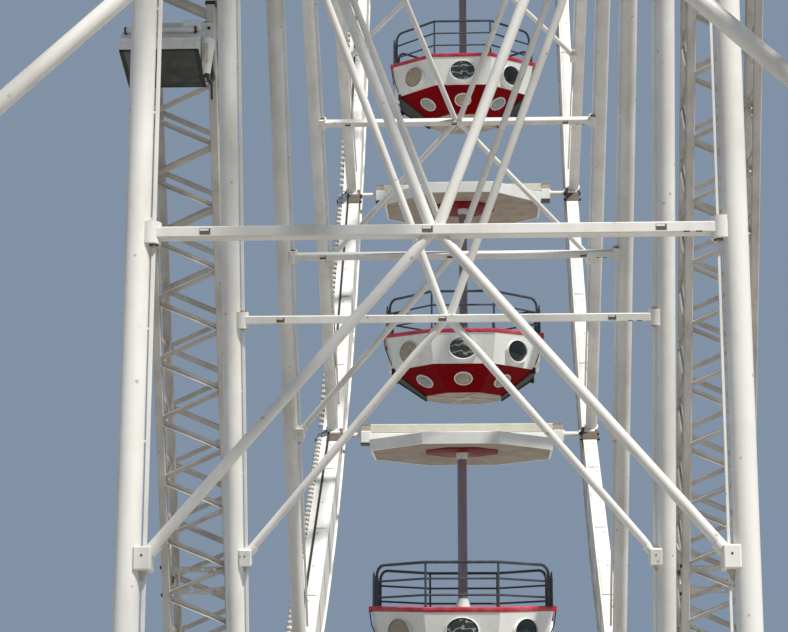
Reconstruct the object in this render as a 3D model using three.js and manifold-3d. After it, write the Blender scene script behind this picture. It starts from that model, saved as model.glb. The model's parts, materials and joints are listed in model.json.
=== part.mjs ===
// Transportable ferris wheel with open octagonal cabins that stay level.
// Millimetres, +Z up. The wheel turns about X, and the ground is at Z = 0.

import * as THREE from 'three';
import { mergeVertices } from 'three/addons/utils/BufferGeometryUtils.js';
import Module from 'manifold-3d';

const wasm = await Module();
wasm.setup();

// Driving dimensions of the wheel
const HUB_HEIGHT = 19850;
const PIVOT_RADIUS = 16250;
const CABIN_COUNT = 24;
const REST_PHASE = THREE.MathUtils.degToRad(11.81); // first cabin, from straight down towards +Y
const RIM_HALF_TRACK = 1300;       // spoke tips, from the wheel's middle plane
const RIM_INSET = 18;              // middle of a rim's box, inward of the spoke tips
const HUB_HALF_TRACK = 1362;       // spoke planes where they would meet the axle
const RIM_DEPTH = 140;
const RIM_WIDTH = 120;

// Spoke frames
const SPOKE_TUBE = 104;
const CROSS_TALL = 50;              // along the spokes
const CROSS_DEEP = 72;
const BRACE = 46;
const BRACE_FOOT = 10;              // from the cross tube's middle
const CROSS_AT = 12770;
const INNER_CROSS_AT = 5600;
const OUTER_GUSSET_AT = 14210;
const INNER_GUSSET_AT = 9340;
const SECTOR_COUNT = 8;

// Hub
const DRUM_RADIUS = 620;
const DRUM_HALF_LENGTH = 1460;
const SHAFT_RADIUS = 160;
const SHAFT_END_REACH = 60;         // past the legs' outer sides
const FLANGE_RADIUS = 1500;
const FLANGE_THICKNESS = 60;

// Cabin, measured down from its pivot
const CANOPY_HALF = 897;
const CANOPY_UNDERSIDE = 203;
const CANOPY_DEPTH = 115;
const CANOPY_TAPER = 18;
const BEAM_TOP = 105;
const BEAM_HALF_LENGTH = 1020;
const BEAM_WIDTH = 150;
const CABIN_SHAFT = 52;
const POLE_WIDTH = 84;
const RIM_HALF = 883;
const RIM_DROP = 1757;
const BAND_HALF = 803;
const BAND_DROP = 2153;
const BOTTOM_HALF = 451;
const BOTTOM_DROP = 2413;
const TUB_WALL = 60;
const RAIL_HALF = 855;
const RAIL_DROP = 1310;
const RAIL_BAR = 32;
const RAIL_CUT_REACH = 100;        // above and below the rail, to open the gates

// Legs, heads and ground frame
const LEG_INNER_X = 1675;
const LEG_WIDTH = 530;
const LEG_DEPTH = 560;
const LEG_TOP_Y = 410;             // nearer chords, carried on up to the axle's height
const LEG_SLOPE = 0.385;           // sideways run for each unit of height
const CHORD = 60;
const LEG_FRAME_BAR = 50;
const LEG_FRAME_PITCH = 6300;
const LEG_FIRST_FRAME = 5970;
const HEAD_BOTTOM = HUB_HEIGHT - 1250;
const HEAD_TOP = HUB_HEIGHT + 420;
const HEAD_TOP_HALF = 420;
const HEAD_FOOT_LIP = 20;          // past the legs' outer chords
const HEAD_SHOULDER = 380;         // upright part of the outline, above its foot
const BEAM_HEIGHT = 300;
const BEAM_LIP = 30;               // past the legs, each side
const BEAM_END_REACH = 520;        // past the middle of the outer cross beams
const GROUND_CROSS_HALF = 3000;
const GROUND_CROSS_WIDTH = 340;
const GROUND_CROSS_DROP = 40;      // below the top of the long beams

// Floodlight, which hangs under its plate with its glass towards the ground
const LAMP_HEIGHT = 9750;           // middle of its plate
const LAMP_WIDTH = 560;
const LAMP_ASIDE = 80;             // from the leg's middle, away from the wheel
// Its housing seen from the side, forwards and up from the plate's middle
const LAMP_OUTLINE = [[340, -205], [-90, -340], [30, -35], [240, -35], [340, -120]];
const LAMP_PLATE = 20;
const LAMP_PLATE_TALL = 200;
const LAMP_ARM_REACH = 190;
const LAMP_ARM_WIDTH = 120;
const LAMP_ARM_TALL = 80;

const GAP = 0.3;
const BEYOND = 40000;              // further than any piece reaches
const OCTAGON_CORNER = 1 / Math.cos(Math.PI / 8);

const white = new THREE.MeshStandardMaterial({ color: 0xe9ebe8, roughness: 0.45, metalness: 0.1 });
const cabinWhite = new THREE.MeshStandardMaterial({ color: 0xeceee9, roughness: 0.35, metalness: 0 });
const lampWhite = new THREE.MeshStandardMaterial({ color: 0xdfe0da, roughness: 0.5, metalness: 0.1 });

// Solids from and back to three.js geometry

function toSolid(geometry) {
  let bare = geometry.index ? geometry.toNonIndexed() : geometry.clone();
  bare.deleteAttribute('normal');
  bare.deleteAttribute('uv');
  bare = mergeVertices(bare, 1e-3);
  const mesh = new wasm.Mesh({
    numProp: 3,
    vertProperties: new Float32Array(bare.attributes.position.array),
    triVerts: new Uint32Array(bare.index.array),
  });
  return new wasm.Manifold(mesh);
}

function toGeometry(solid) {
  const mesh = solid.getMesh();
  const geometry = new THREE.BufferGeometry();
  geometry.setAttribute('position', new THREE.BufferAttribute(new Float32Array(mesh.vertProperties), 3));
  geometry.setIndex(new THREE.BufferAttribute(new Uint32Array(mesh.triVerts), 1));
  geometry.computeVertexNormals();
  return geometry;
}

function join(geometries) {
  return geometries.map(toSolid).reduce((sum, solid) => sum.add(solid));
}

// Straight members between two points

// A square bar from one point to another, with two of its sides towards facing
function squareBar(from, to, width, facing) {
  const middle = from.clone().add(to).multiplyScalar(0.5);
  const along = to.clone().sub(from).normalize();
  const across = along.clone().cross(facing).normalize();
  const out = across.clone().cross(along);
  const bar = new THREE.BoxGeometry(width, from.distanceTo(to), width);
  bar.applyMatrix4(new THREE.Matrix4().makeBasis(across, along, out));
  return bar.translate(middle.x, middle.y, middle.z);
}

function block(x0, x1, y0, y1, z0, z1) {
  const box = new THREE.BoxGeometry(x1 - x0, y1 - y0, z1 - z0);
  return box.translate((x0 + x1) / 2, (y0 + y1) / 2, (z0 + z1) / 2);
}

// An eight-sided turned shape about Z, with flats towards X and Y. The profile
// gives half-widths across the flats and heights.
function octagonal(profile) {
  const points = profile.map(([half, z]) => new THREE.Vector2(half * OCTAGON_CORNER, z));
  const shape = new THREE.LatheGeometry(points, 8, Math.PI / 8);
  return shape.rotateX(Math.PI / 2);
}

// A turned shape about the axle, which is the X axis here. The profile gives
// radii and places along X, and one corner of the shape points straight down.
function aboutAxle(profile, sides) {
  const points = profile.map(([radius, x]) => new THREE.Vector2(radius, x));
  const shape = new THREE.LatheGeometry(points, sides);
  return shape.rotateZ(-Math.PI / 2);
}

// Places on the wheel, which is built round its hub with one cabin straight down

const CABIN_STEP = (2 * Math.PI) / CABIN_COUNT;

function halfTrack(radius) {
  return HUB_HALF_TRACK + (RIM_HALF_TRACK - HUB_HALF_TRACK) * (radius / PIVOT_RADIUS);
}

// One cabin, built round its own pivot

function cabinSolid() {
  const tub = octagonal([
    [0, -BOTTOM_DROP],
    [BOTTOM_HALF, -BOTTOM_DROP],
    [BAND_HALF, -BAND_DROP],
    [RIM_HALF, -RIM_DROP],
    [RIM_HALF - TUB_WALL, -RIM_DROP],
    [BAND_HALF - TUB_WALL, -BAND_DROP],
    [BOTTOM_HALF - TUB_WALL / 2, -BOTTOM_DROP + TUB_WALL],
    [0, -BOTTOM_DROP + TUB_WALL],
  ]);
  const canopyTop = -CANOPY_UNDERSIDE + CANOPY_DEPTH;
  const canopy = octagonal([
    [0, -CANOPY_UNDERSIDE],
    [CANOPY_HALF - CANOPY_TAPER, -CANOPY_UNDERSIDE],
    [CANOPY_HALF, canopyTop],
    [0, canopyTop],
  ]);
  const sunk = TUB_WALL / 2;
  const pole = block(
    -POLE_WIDTH / 2, POLE_WIDTH / 2, -POLE_WIDTH / 2, POLE_WIDTH / 2,
    -BOTTOM_DROP + sunk, -CANOPY_UNDERSIDE + sunk);
  const beam = block(
    -BEAM_HALF_LENGTH, BEAM_HALF_LENGTH, -BEAM_WIDTH / 2, BEAM_WIDTH / 2, canopyTop - sunk, BEAM_TOP);
  const shaftEnd = RIM_HALF_TRACK - RIM_INSET - RIM_WIDTH / 2 - GAP;
  const shaft = block(
    -shaftEnd, shaftEnd, -CABIN_SHAFT / 2, CABIN_SHAFT / 2, -CABIN_SHAFT / 2, CABIN_SHAFT / 2);

  const railRing = octagonal([
    [RAIL_HALF, -RAIL_DROP - RAIL_BAR],
    [RAIL_HALF, -RAIL_DROP],
    [RAIL_HALF - RAIL_BAR, -RAIL_DROP],
    [RAIL_HALF - RAIL_BAR, -RAIL_DROP - RAIL_BAR],
    [RAIL_HALF, -RAIL_DROP - RAIL_BAR],
  ]);
  const gateHalf = RAIL_HALF * Math.tan(Math.PI / 8) - RAIL_BAR;
  const gateCut = block(
    -2 * RAIL_HALF, 2 * RAIL_HALF, -gateHalf, gateHalf,
    -RAIL_DROP - RAIL_CUT_REACH, -RAIL_DROP + RAIL_CUT_REACH);
  const rails = toSolid(railRing).subtract(toSolid(gateCut));
  const posts = [];
  for (const sideX of [-1, 1]) {
    for (const sideY of [-1, 1]) {
      const x = sideX * (RAIL_HALF - RAIL_BAR / 2);
      const y = sideY * (gateHalf + RAIL_BAR / 2);
      posts.push(block(
        x - RAIL_BAR / 2, x + RAIL_BAR / 2, y - RAIL_BAR / 2, y + RAIL_BAR / 2,
        -RIM_DROP - sunk, -RAIL_DROP));
    }
  }
  return join([tub, canopy, pole, beam, shaft, ...posts]).add(rails);
}

// One spoke frame, hanging straight down: two spokes, their cross tubes and braces

function spokeFrame() {
  const facing = new THREE.Vector3(0, 1, 0);
  const tipRadius = PIVOT_RADIUS - RIM_DEPTH / 2 - (SPOKE_TUBE / 2) * Math.tan(CABIN_STEP / 2) - GAP;
  const footRadius = (DRUM_RADIUS + FLANGE_RADIUS) / 2;
  const pieces = [];
  for (const side of [-1, 1]) {
    const at = (radius) => new THREE.Vector3(side * halfTrack(radius), 0, -radius);
    const centre = new THREE.Vector3(side * BRACE_FOOT, 0, -CROSS_AT);
    pieces.push(squareBar(at(footRadius), at(tipRadius), SPOKE_TUBE, facing));
    pieces.push(squareBar(centre, at(OUTER_GUSSET_AT), BRACE, facing));
    pieces.push(squareBar(centre, at(INNER_GUSSET_AT), BRACE, facing));
  }
  for (const radius of [CROSS_AT, INNER_CROSS_AT]) {
    const reach = halfTrack(radius);
    pieces.push(block(
      -reach, reach, -CROSS_DEEP / 2, CROSS_DEEP / 2,
      -radius - CROSS_TALL / 2, -radius + CROSS_TALL / 2));
  }
  return join(pieces);
}

// The part of a hub flange that carries one sector's spokes
function flangeSector(side, spokes) {
  const half = (spokes * CABIN_STEP) / 2;
  const corner = (index, radius) => {
    const angle = -half + index * CABIN_STEP;
    const inset = index === 0 ? GAP / 2 : index === spokes ? -GAP / 2 : 0;
    return new THREE.Vector2(
      radius * Math.sin(angle) + inset * Math.cos(angle),
      -radius * Math.cos(angle) + inset * Math.sin(angle));
  };
  const indices = [...Array(spokes + 1).keys()];
  const inner = DRUM_RADIUS + GAP / Math.cos(CABIN_STEP / 2);
  const outline = new THREE.Shape([
    ...indices.map((index) => corner(index, FLANGE_RADIUS)),
    ...indices.reverse().map((index) => corner(index, inner)),
  ]);
  const plate = new THREE.ExtrudeGeometry(outline, { depth: FLANGE_THICKNESS, bevelEnabled: false });
  // The outline's X becomes Y, its Y becomes Z and its depth X
  return plate.applyMatrix4(new THREE.Matrix4().set(
    0, 0, 1, side * halfTrack(FLANGE_RADIUS) - FLANGE_THICKNESS / 2,
    1, 0, 0, 0,
    0, 1, 0, 0,
    0, 0, 0, 1));
}

// Three spoke frames on their flange plates, the middle one straight down
function spokeSector() {
  const spokes = CABIN_COUNT / SECTOR_COUNT;
  const frame = toGeometry(spokeFrame());
  const pieces = [-1, 1].map((side) => flangeSector(side, spokes));
  for (let i = 0; i < spokes; i += 1) {
    pieces.push(frame.clone().rotateX((i - (spokes - 1) / 2) * CABIN_STEP));
  }
  return join(pieces);
}

function rimRing() {
  const low = PIVOT_RADIUS - RIM_DEPTH / 2;
  const high = PIVOT_RADIUS + RIM_DEPTH / 2;
  const half = RIM_WIDTH / 2;
  return aboutAxle([[low, -half], [high, -half], [high, half], [low, half], [low, -half]], CABIN_COUNT);
}

function hubShape() {
  const shaftEnd = LEG_INNER_X + LEG_WIDTH + SHAFT_END_REACH;
  const turned = aboutAxle([
    [0, -shaftEnd],
    [SHAFT_RADIUS, -shaftEnd],
    [SHAFT_RADIUS, -DRUM_HALF_LENGTH],
    [DRUM_RADIUS, -DRUM_HALF_LENGTH],
    [DRUM_RADIUS, DRUM_HALF_LENGTH],
    [SHAFT_RADIUS, DRUM_HALF_LENGTH],
    [SHAFT_RADIUS, shaftEnd],
    [0, shaftEnd],
  ], CABIN_COUNT);
  return turned.rotateX(CABIN_STEP / 2);
}

// Legs, bearing heads and ground frame

function legY(z) {
  return LEG_TOP_Y + LEG_SLOPE * (HUB_HEIGHT - z);
}

function legSolid(sideX, sideY) {
  const bottom = BEAM_HEIGHT + GAP;
  const top = HEAD_BOTTOM - GAP;
  const xs = [LEG_INNER_X + CHORD / 2, LEG_INNER_X + LEG_WIDTH - CHORD / 2];
  const depths = [CHORD / 2, LEG_DEPTH - CHORD / 2];
  const corner = (x, depth, z) => new THREE.Vector3(sideX * x, sideY * (legY(z) + depth), z);
  const acrossX = new THREE.Vector3(1, 0, 0);
  const up = new THREE.Vector3(0, 0, 1);
  const pieces = [];
  for (const x of xs) {
    for (const depth of depths) {
      pieces.push(squareBar(
        corner(x, depth, bottom - CHORD), corner(x, depth, top + CHORD), CHORD, acrossX));
    }
  }
  const levels = [bottom + CHORD / 2];
  for (let z = LEG_FIRST_FRAME; z < top - CHORD; z += LEG_FRAME_PITCH) {
    levels.push(z);
  }
  levels.push(top - CHORD / 2);
  for (const z of levels) {
    for (const x of xs) {
      pieces.push(squareBar(corner(x, depths[0], z), corner(x, depths[1], z), LEG_FRAME_BAR, acrossX));
    }
    for (const depth of depths) {
      pieces.push(squareBar(corner(xs[0], depth, z), corner(xs[1], depth, z), LEG_FRAME_BAR, up));
    }
  }
  const space = block(-BEYOND, BEYOND, -BEYOND, BEYOND, bottom, top);
  return join(pieces).intersect(toSolid(space));
}

function headSolid(sideX) {
  const foot = legY(HEAD_BOTTOM) + LEG_DEPTH + HEAD_FOOT_LIP;
  const shoulder = HEAD_BOTTOM + HEAD_SHOULDER;
  const outline = new THREE.Shape();
  outline.setFromPoints([
    new THREE.Vector2(-foot, HEAD_BOTTOM), new THREE.Vector2(foot, HEAD_BOTTOM),
    new THREE.Vector2(foot, shoulder), new THREE.Vector2(HEAD_TOP_HALF, HEAD_TOP),
    new THREE.Vector2(-HEAD_TOP_HALF, HEAD_TOP), new THREE.Vector2(-foot, shoulder),
  ]);
  const x0 = sideX > 0 ? LEG_INNER_X : -LEG_INNER_X - LEG_WIDTH;
  const plate = new THREE.ExtrudeGeometry(outline, { depth: LEG_WIDTH, bevelEnabled: false });
  plate.applyMatrix4(new THREE.Matrix4().set(0, 0, 1, x0, 1, 0, 0, 0, 0, 1, 0, 0, 0, 0, 0, 1));
  // The bore's flats face the shaft's corners at rest
  const boreRadius = (SHAFT_RADIUS + GAP) / Math.cos(CABIN_STEP / 2);
  const bore = aboutAxle(
    [[0, -BEYOND], [boreRadius, -BEYOND], [boreRadius, BEYOND], [0, BEYOND]], CABIN_COUNT);
  bore.rotateX(REST_PHASE).translate(0, 0, HUB_HEIGHT);
  return toSolid(plate).subtract(toSolid(bore));
}

function groundFrameSolid() {
  const legX = LEG_INNER_X + LEG_WIDTH / 2;
  const footY = legY(0) + LEG_DEPTH / 2;
  const endY = footY + BEAM_END_REACH;
  const wide = LEG_WIDTH / 2 + BEAM_LIP;
  const narrow = GROUND_CROSS_WIDTH / 2;
  const pieces = [];
  for (const side of [-1, 1]) {
    pieces.push(block(side * legX - wide, side * legX + wide, -endY, endY, 0, BEAM_HEIGHT));
  }
  for (const y of [-footY, 0, footY]) {
    pieces.push(block(
      -GROUND_CROSS_HALF, GROUND_CROSS_HALF, y - narrow, y + narrow, 0, BEAM_HEIGHT - GROUND_CROSS_DROP));
  }
  return join(pieces);
}

// Floodlight on a back plate across the near chords of the left far leg
function floodlightSolid() {
  const middleX = -(LEG_INNER_X + LEG_WIDTH / 2);
  const chordY = legY(LAMP_HEIGHT) + CHORD / 2;
  const up = new THREE.Vector3(0, -LEG_SLOPE, 1).normalize();
  const out = new THREE.Vector3(0, -up.z, up.y);
  const plateAt = new THREE.Vector3(middleX, chordY, LAMP_HEIGHT)
    .addScaledVector(out, CHORD / 2 + GAP + LAMP_PLATE / 2);
  const plate = new THREE.BoxGeometry(LEG_WIDTH, LAMP_PLATE, LAMP_PLATE_TALL);
  plate.applyMatrix4(new THREE.Matrix4().makeBasis(new THREE.Vector3(1, 0, 0), out.clone().negate(), up));
  plate.translate(plateAt.x, plateAt.y, plateAt.z);
  const arm = block(
    middleX - LAMP_ARM_WIDTH / 2, middleX + LAMP_ARM_WIDTH / 2, plateAt.y - LAMP_ARM_REACH, plateAt.y,
    plateAt.z - LAMP_ARM_TALL, plateAt.z);
  const outline = new THREE.Shape(LAMP_OUTLINE.map(([forward, lift]) => (
    new THREE.Vector2(plateAt.y - forward, plateAt.z + lift))));
  const housing = new THREE.ExtrudeGeometry(outline, { depth: LAMP_WIDTH, bevelEnabled: false });
  // The outline's X becomes Y, its Y becomes Z and its depth X
  housing.applyMatrix4(new THREE.Matrix4().set(
    0, 0, 1, middleX - LAMP_ASIDE - LAMP_WIDTH / 2,
    1, 0, 0, 0,
    0, 1, 0, 0,
    0, 0, 0, 1));
  return join([plate, arm, housing]);
}

const ferrisWheel = new THREE.Group();
const turningPart = new THREE.Group();
turningPart.position.z = HUB_HEIGHT;
turningPart.rotation.x = REST_PHASE;
ferrisWheel.add(turningPart);

function place(group, name, geometry, material) {
  const mesh = new THREE.Mesh(geometry, material.clone());
  mesh.name = name;
  group.add(mesh);
  return mesh;
}

const cabin = toGeometry(cabinSolid());
for (let i = 0; i < CABIN_COUNT; i += 1) {
  const mesh = place(ferrisWheel, `cabin_${String(i + 1).padStart(2, '0')}`, cabin.clone(), cabinWhite);
  const angle = REST_PHASE + i * CABIN_STEP;
  mesh.position.set(0, PIVOT_RADIUS * Math.sin(angle), HUB_HEIGHT - PIVOT_RADIUS * Math.cos(angle));
}
const sector = toGeometry(spokeSector());
for (let i = 0; i < SECTOR_COUNT; i += 1) {
  const mesh = place(turningPart, `spoke_sector_${i + 1}`, sector.clone(), white);
  mesh.rotation.x = (i * 2 * Math.PI) / SECTOR_COUNT + CABIN_STEP;
}
place(turningPart, 'rim_left', rimRing(), white).position.x = RIM_INSET - RIM_HALF_TRACK;
place(turningPart, 'rim_right', rimRing(), white).position.x = RIM_HALF_TRACK - RIM_INSET;
place(turningPart, 'hub', hubShape(), white);
for (const [sideX, across] of [[-1, 'left'], [1, 'right']]) {
  for (const [sideY, along] of [[-1, 'near'], [1, 'far']]) {
    place(ferrisWheel, `leg_${across}_${along}`, toGeometry(legSolid(sideX, sideY)), white);
  }
  place(ferrisWheel, `bearing_head_${across}`, toGeometry(headSolid(sideX)), white);
}
place(ferrisWheel, 'ground_frame', toGeometry(groundFrameSolid()), white);
place(ferrisWheel, 'floodlight', toGeometry(floodlightSolid()), lampWhite);

export default ferrisWheel;
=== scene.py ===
"""Finished look of a transportable ferris wheel with open octagonal cabins, in metres."""

import json
import math
from contextlib import contextmanager

import bmesh
import bpy
from mathutils import Matrix, Vector


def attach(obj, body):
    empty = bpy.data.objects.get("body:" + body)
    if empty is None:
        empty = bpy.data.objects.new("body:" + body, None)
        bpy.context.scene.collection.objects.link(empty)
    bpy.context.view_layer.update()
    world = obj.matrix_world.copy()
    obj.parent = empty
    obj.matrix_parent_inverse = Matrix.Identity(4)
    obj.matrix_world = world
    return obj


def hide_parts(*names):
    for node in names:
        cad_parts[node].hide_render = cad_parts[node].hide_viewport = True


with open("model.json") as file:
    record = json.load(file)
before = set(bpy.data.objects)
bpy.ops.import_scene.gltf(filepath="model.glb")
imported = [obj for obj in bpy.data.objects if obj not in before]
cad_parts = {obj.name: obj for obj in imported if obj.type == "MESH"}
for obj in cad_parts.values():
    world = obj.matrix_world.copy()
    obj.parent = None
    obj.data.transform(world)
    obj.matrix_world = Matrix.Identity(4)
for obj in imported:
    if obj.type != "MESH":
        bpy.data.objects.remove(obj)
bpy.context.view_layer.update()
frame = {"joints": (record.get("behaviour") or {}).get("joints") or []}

# Places from the frame
JOINT_AT = {joint["name"]: Vector(joint["pos_m"]) for joint in frame["joints"]}
HUB = JOINT_AT["wheel_spin"]
CABINS = sorted(name[:-len("_swing")] for name in JOINT_AT if name.endswith("_swing"))
CABIN_STEP = math.tau / len(CABINS)
FIRST_ARM = JOINT_AT[CABINS[0] + "_swing"] - HUB
PIVOT_RADIUS = FIRST_ARM.length
REST_PHASE = math.atan2(FIRST_ARM.y, -FIRST_ARM.z)
SECTORS = 8
FRAMES_PER_SECTOR = len(CABINS) // SECTORS

# Wheel
RIM_HALF_TRACK = 1.300      # spoke tips
RIM_MIDDLE = 1.282          # middle of a rim's box
HUB_HALF_TRACK = 1.362
RIM_WIDTH = 0.120
RIM_DEPTH = 0.140
SPOKE_RADIUS = 0.057
CROSS_AT = 12.77
INNER_CROSS_AT = 5.60
OUTER_GUSSET_AT = 14.21
INNER_GUSSET_AT = 9.34
CROSS_TALL = 0.050
CROSS_DEEP = 0.072
BRACE_RADIUS = 0.025
FLANGE_RADIUS = 1.500
DRUM_RADIUS = 0.620
DRUM_HALF = 1.460
SHAFT_RADIUS = 0.160
WEB_ENDS = 0.24             # radial reach of a rim's web at its joints
WEB_MIDDLE = 0.44           # and halfway between two
LAMP_PITCH = 0.086

# Cabin, with heights from its pivot and half-widths across its flats
CANOPY_HALF = 0.915
CANOPY_LOW_HALF = 0.901
CANOPY_TOP = -0.088
CANOPY_LOW = -0.203
BEAM_TOP = 0.105
BEAM_HALF = 1.020
BEAM_WIDTH = 0.150
RIM_HALF = 0.883
RIM_Z = -1.789
BAND_HALF = 0.803
BAND_Z = -2.153
BOTTOM_HALF = 0.432
BOTTOM_Z = -2.424
WALL = 0.030
GATE_RISE = 0.034           # of the tub's edge, from its front and back to its gates
RAIL_HALF = 0.840
RAIL_Z = (-1.336, -1.492, -1.648)
FLAT_TAN = math.tan(math.pi / 8)

# Legs, heads and ground frame
LEG_INNER_X = 1.675
LEG_WIDTH = 0.530
LEG_DEPTH = 0.560
LEG_TOP_Y = 0.410
LEG_SLOPE = 0.385
CHORD = 0.060
LACING_START = 0.618
LACING_RISE = 0.210
JOINT_LEVELS = (5.970, 12.270)      # where a leg's lengths are bolted together
TIE_LIFT = 0.087            # of a joint's upper tie plate
TIE_GAP = 0.159             # down to its lower one
BEAM_HEIGHT = 0.300
HEAD_BOTTOM = HUB.z - 1.250
HEAD_TOP = HUB.z + 0.420
LAMP_Z = 9.750

# Camera, just over the tub of a cabin on the near side, and the sun
EYE_AT = (0.200, -9.3007, 5.0526)
EYE_TURN = math.radians(2.52)
EYE_RISE = math.radians(10.99)
EYE_LENS = 91.69            # mm, on a sensor 36 mm wide
SUN_FROM = (0.42, -0.44, 1.00)

# Order of the paints on steel pieces, whose first is their own coat
COAT, BLACK, STAIN_AND_SHADE, RUST_AND_SHADE = range(4)

# On a cabin's shell
GEL, CREAM_SHADE, UNDER_BLACK, END_TOP_BROWN = range(4)

# On the rim lamps
CAP, CABLE = range(2)

X, Y, Z = Vector((1, 0, 0)), Vector((0, 1, 0)), Vector((0, 0, 1))


# Materials

def linear(hex_colour):
    """sRGB hex to the linear colour that the shaders take."""
    channels = [int(hex_colour[i:i + 2], 16) / 255 for i in (1, 3, 5)]
    return tuple(c / 12.92 if c <= 0.04045 else ((c + 0.055) / 1.055) ** 2.4 for c in channels) + (1,)


def add(tree, kind, inputs=(), **settings):
    """Adds one node with its settings, and values or links for its sockets."""
    made = tree.nodes.new(kind)
    for name, value in settings.items():
        setattr(made, name, value)
    for socket, value in dict(inputs).items():
        if isinstance(value, bpy.types.NodeSocket):
            tree.links.new(value, made.inputs[socket])
        else:
            made.inputs[socket].default_value = value
    return made


# Sockets of the mix node where it mixes colours
MIX_FACTOR, MIX_A, MIX_B, MIX_COLOUR = 0, 6, 7, 2


def weathered(name, base, stain, patch, streak, fine, rough, stains=0.35, specks=0.0, **shader):
    """A coated surface: broad stains patch metres wide that run streak times longer down the
    piece, a fine grain of that size for bump, and dirt specks about a centimetre wide."""
    material = bpy.data.materials.new(name)
    material.use_nodes = True
    tree = material.node_tree
    tree.nodes.clear()
    place = add(tree, "ShaderNodeTexCoord").outputs["Object"]
    stretched = add(tree, "ShaderNodeMapping", {
        "Vector": place, "Scale": (1 / patch, 1 / patch, 1 / (patch * streak))})
    cloud = add(tree, "ShaderNodeTexNoise", {
        "Vector": stretched.outputs["Vector"], "Scale": 1.0, "Detail": 6.0, "Roughness": 0.62})
    amount = add(tree, "ShaderNodeMapRange", {
        "Value": cloud.outputs["Fac"], "From Min": 0.42, "From Max": 0.78, "To Max": stains})
    colour = add(tree, "ShaderNodeMix", {
        MIX_FACTOR: amount.outputs["Result"], MIX_A: linear(base), MIX_B: linear(stain)},
        data_type="RGBA").outputs[MIX_COLOUR]
    if specks:
        dots = add(tree, "ShaderNodeTexVoronoi", {"Vector": place, "Scale": 9.0, "Randomness": 1.0})
        near = add(tree, "ShaderNodeMapRange", {
            "Value": dots.outputs["Distance"], "From Min": 0.05, "From Max": 0.10,
            "To Min": specks, "To Max": 0.0})
        colour = add(tree, "ShaderNodeMix", {
            MIX_FACTOR: near.outputs["Result"], MIX_A: colour, MIX_B: linear("#5d5344")},
            data_type="RGBA").outputs[MIX_COLOUR]
    grain = add(tree, "ShaderNodeTexNoise", {
        "Vector": place, "Scale": 1 / fine, "Detail": 3.0})
    gloss = add(tree, "ShaderNodeMapRange", {
        "Value": cloud.outputs["Fac"], "From Min": 0.35, "From Max": 0.75,
        "To Min": rough - 0.06, "To Max": rough + 0.14})
    bump = add(tree, "ShaderNodeBump", {
        "Height": grain.outputs["Fac"], "Strength": 0.25, "Distance": fine * 0.15})
    surface = add(tree, "ShaderNodeBsdfPrincipled", {
        "Base Color": colour, "Roughness": gloss.outputs["Result"], "Normal": bump.outputs["Normal"],
        **shader})
    add(tree, "ShaderNodeOutputMaterial", {"Surface": surface.outputs["BSDF"]})
    return material


# Brushed alkyd paint on hot rolled steel: chalky white with grey-brown rain stains
WHITE_STEEL = weathered("alkyd_paint_on_steel", "#dedcd6", "#a1968a", 0.32, 2.2, 0.004, 0.42, 0.50, 0.50)
# The same paint darker: rain dirt on plates, and painted shade on undersides and on the funnels under the
# gusset boxes
STAINED_AND_SHADED_STEEL = weathered("stained_and_shaded_alkyd_paint", "#b3aa9c", "#77674f", 0.18, 1.6, 0.004, 0.55, 0.6, 0.6)
# The lattice legs' paint, greyer and darker than the wheel's: painted shade for the shade the legs stand in,
# with brown stains
LEG_PAINT_WITH_SHADE = weathered("leg_paint_with_painted_shade", "#c2bdb5", "#857b70", 0.24, 1.8, 0.004, 0.50, 0.70, 0.50)
# Polyester gel coat over glass fibre, polished in its mould: smooth and glossy
CABIN_WHITE = weathered("white_gel_coat", "#dfdfda", "#aaa79d", 0.22, 2.5, 0.002, 0.30, 0.30, 0.25, **{
    "Coat Weight": 0.3, "Coat Roughness": 0.15})
CABIN_RED = weathered("dark_red_gel_coat", "#7a0009", "#4e0005", 0.25, 1.6, 0.002, 0.42, 0.45, 0.0, **{
    "Specular IOR Level": 0.03})
# Edge trim of gel coat that the sun has bleached to pink in places
TRIM_RED = weathered("faded_red_gel_coat", "#b01c30", "#cf6672", 0.16, 1.0, 0.002, 0.40, 0.80, 0.0)
# Satin enamel on steel tube
RAIL_GREY = weathered("dark_grey_enamel", "#30353c", "#5b5f63", 0.10, 1.0, 0.002, 0.38, 0.5, 0.0)
POLE_MAUVE = weathered("mauve_grey_enamel", "#897983", "#6a5b63", 0.15, 3.0, 0.002, 0.36, 0.6, 0.2)
# Unfinished back of the glass fibre moulding: brown-grey and matt, with faint drips
SOFFIT = weathered("bare_glass_fibre", "#a79a8c", "#75675a", 0.20, 1.0, 0.006, 0.70, 0.6, 0.3)
BENCH = weathered("tan_moulded_bench", "#a5906a", "#7d6a4c", 0.20, 1.0, 0.003, 0.5, 0.5, 0.0)
# Cream-grey upper band of the cabins' cross beams: painted shade, darker than the beam's white lower part
BEAM_CREAM_SHADE = weathered("cream_grey_painted_shade", "#c5c2b2", "#9b9582", 0.20, 1.0, 0.003, 0.45, 0.5, 0.3)
# Zinc flake bolts gone black, and EPDM rubber. The black steel also paints the shade at the sleeve ends, and
# the rubber paints the deep shade on the tubs' lower gate-side flats
BLACK_STEEL = weathered("blackened_steel", "#1c1b1a", "#3a2e24", 0.05, 1.0, 0.002, 0.5, 0.5, 0.0)
RUBBER = weathered("black_rubber", "#17171a", "#2b2a2a", 0.08, 1.0, 0.002, 0.7, 0.4, 0.0)
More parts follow.
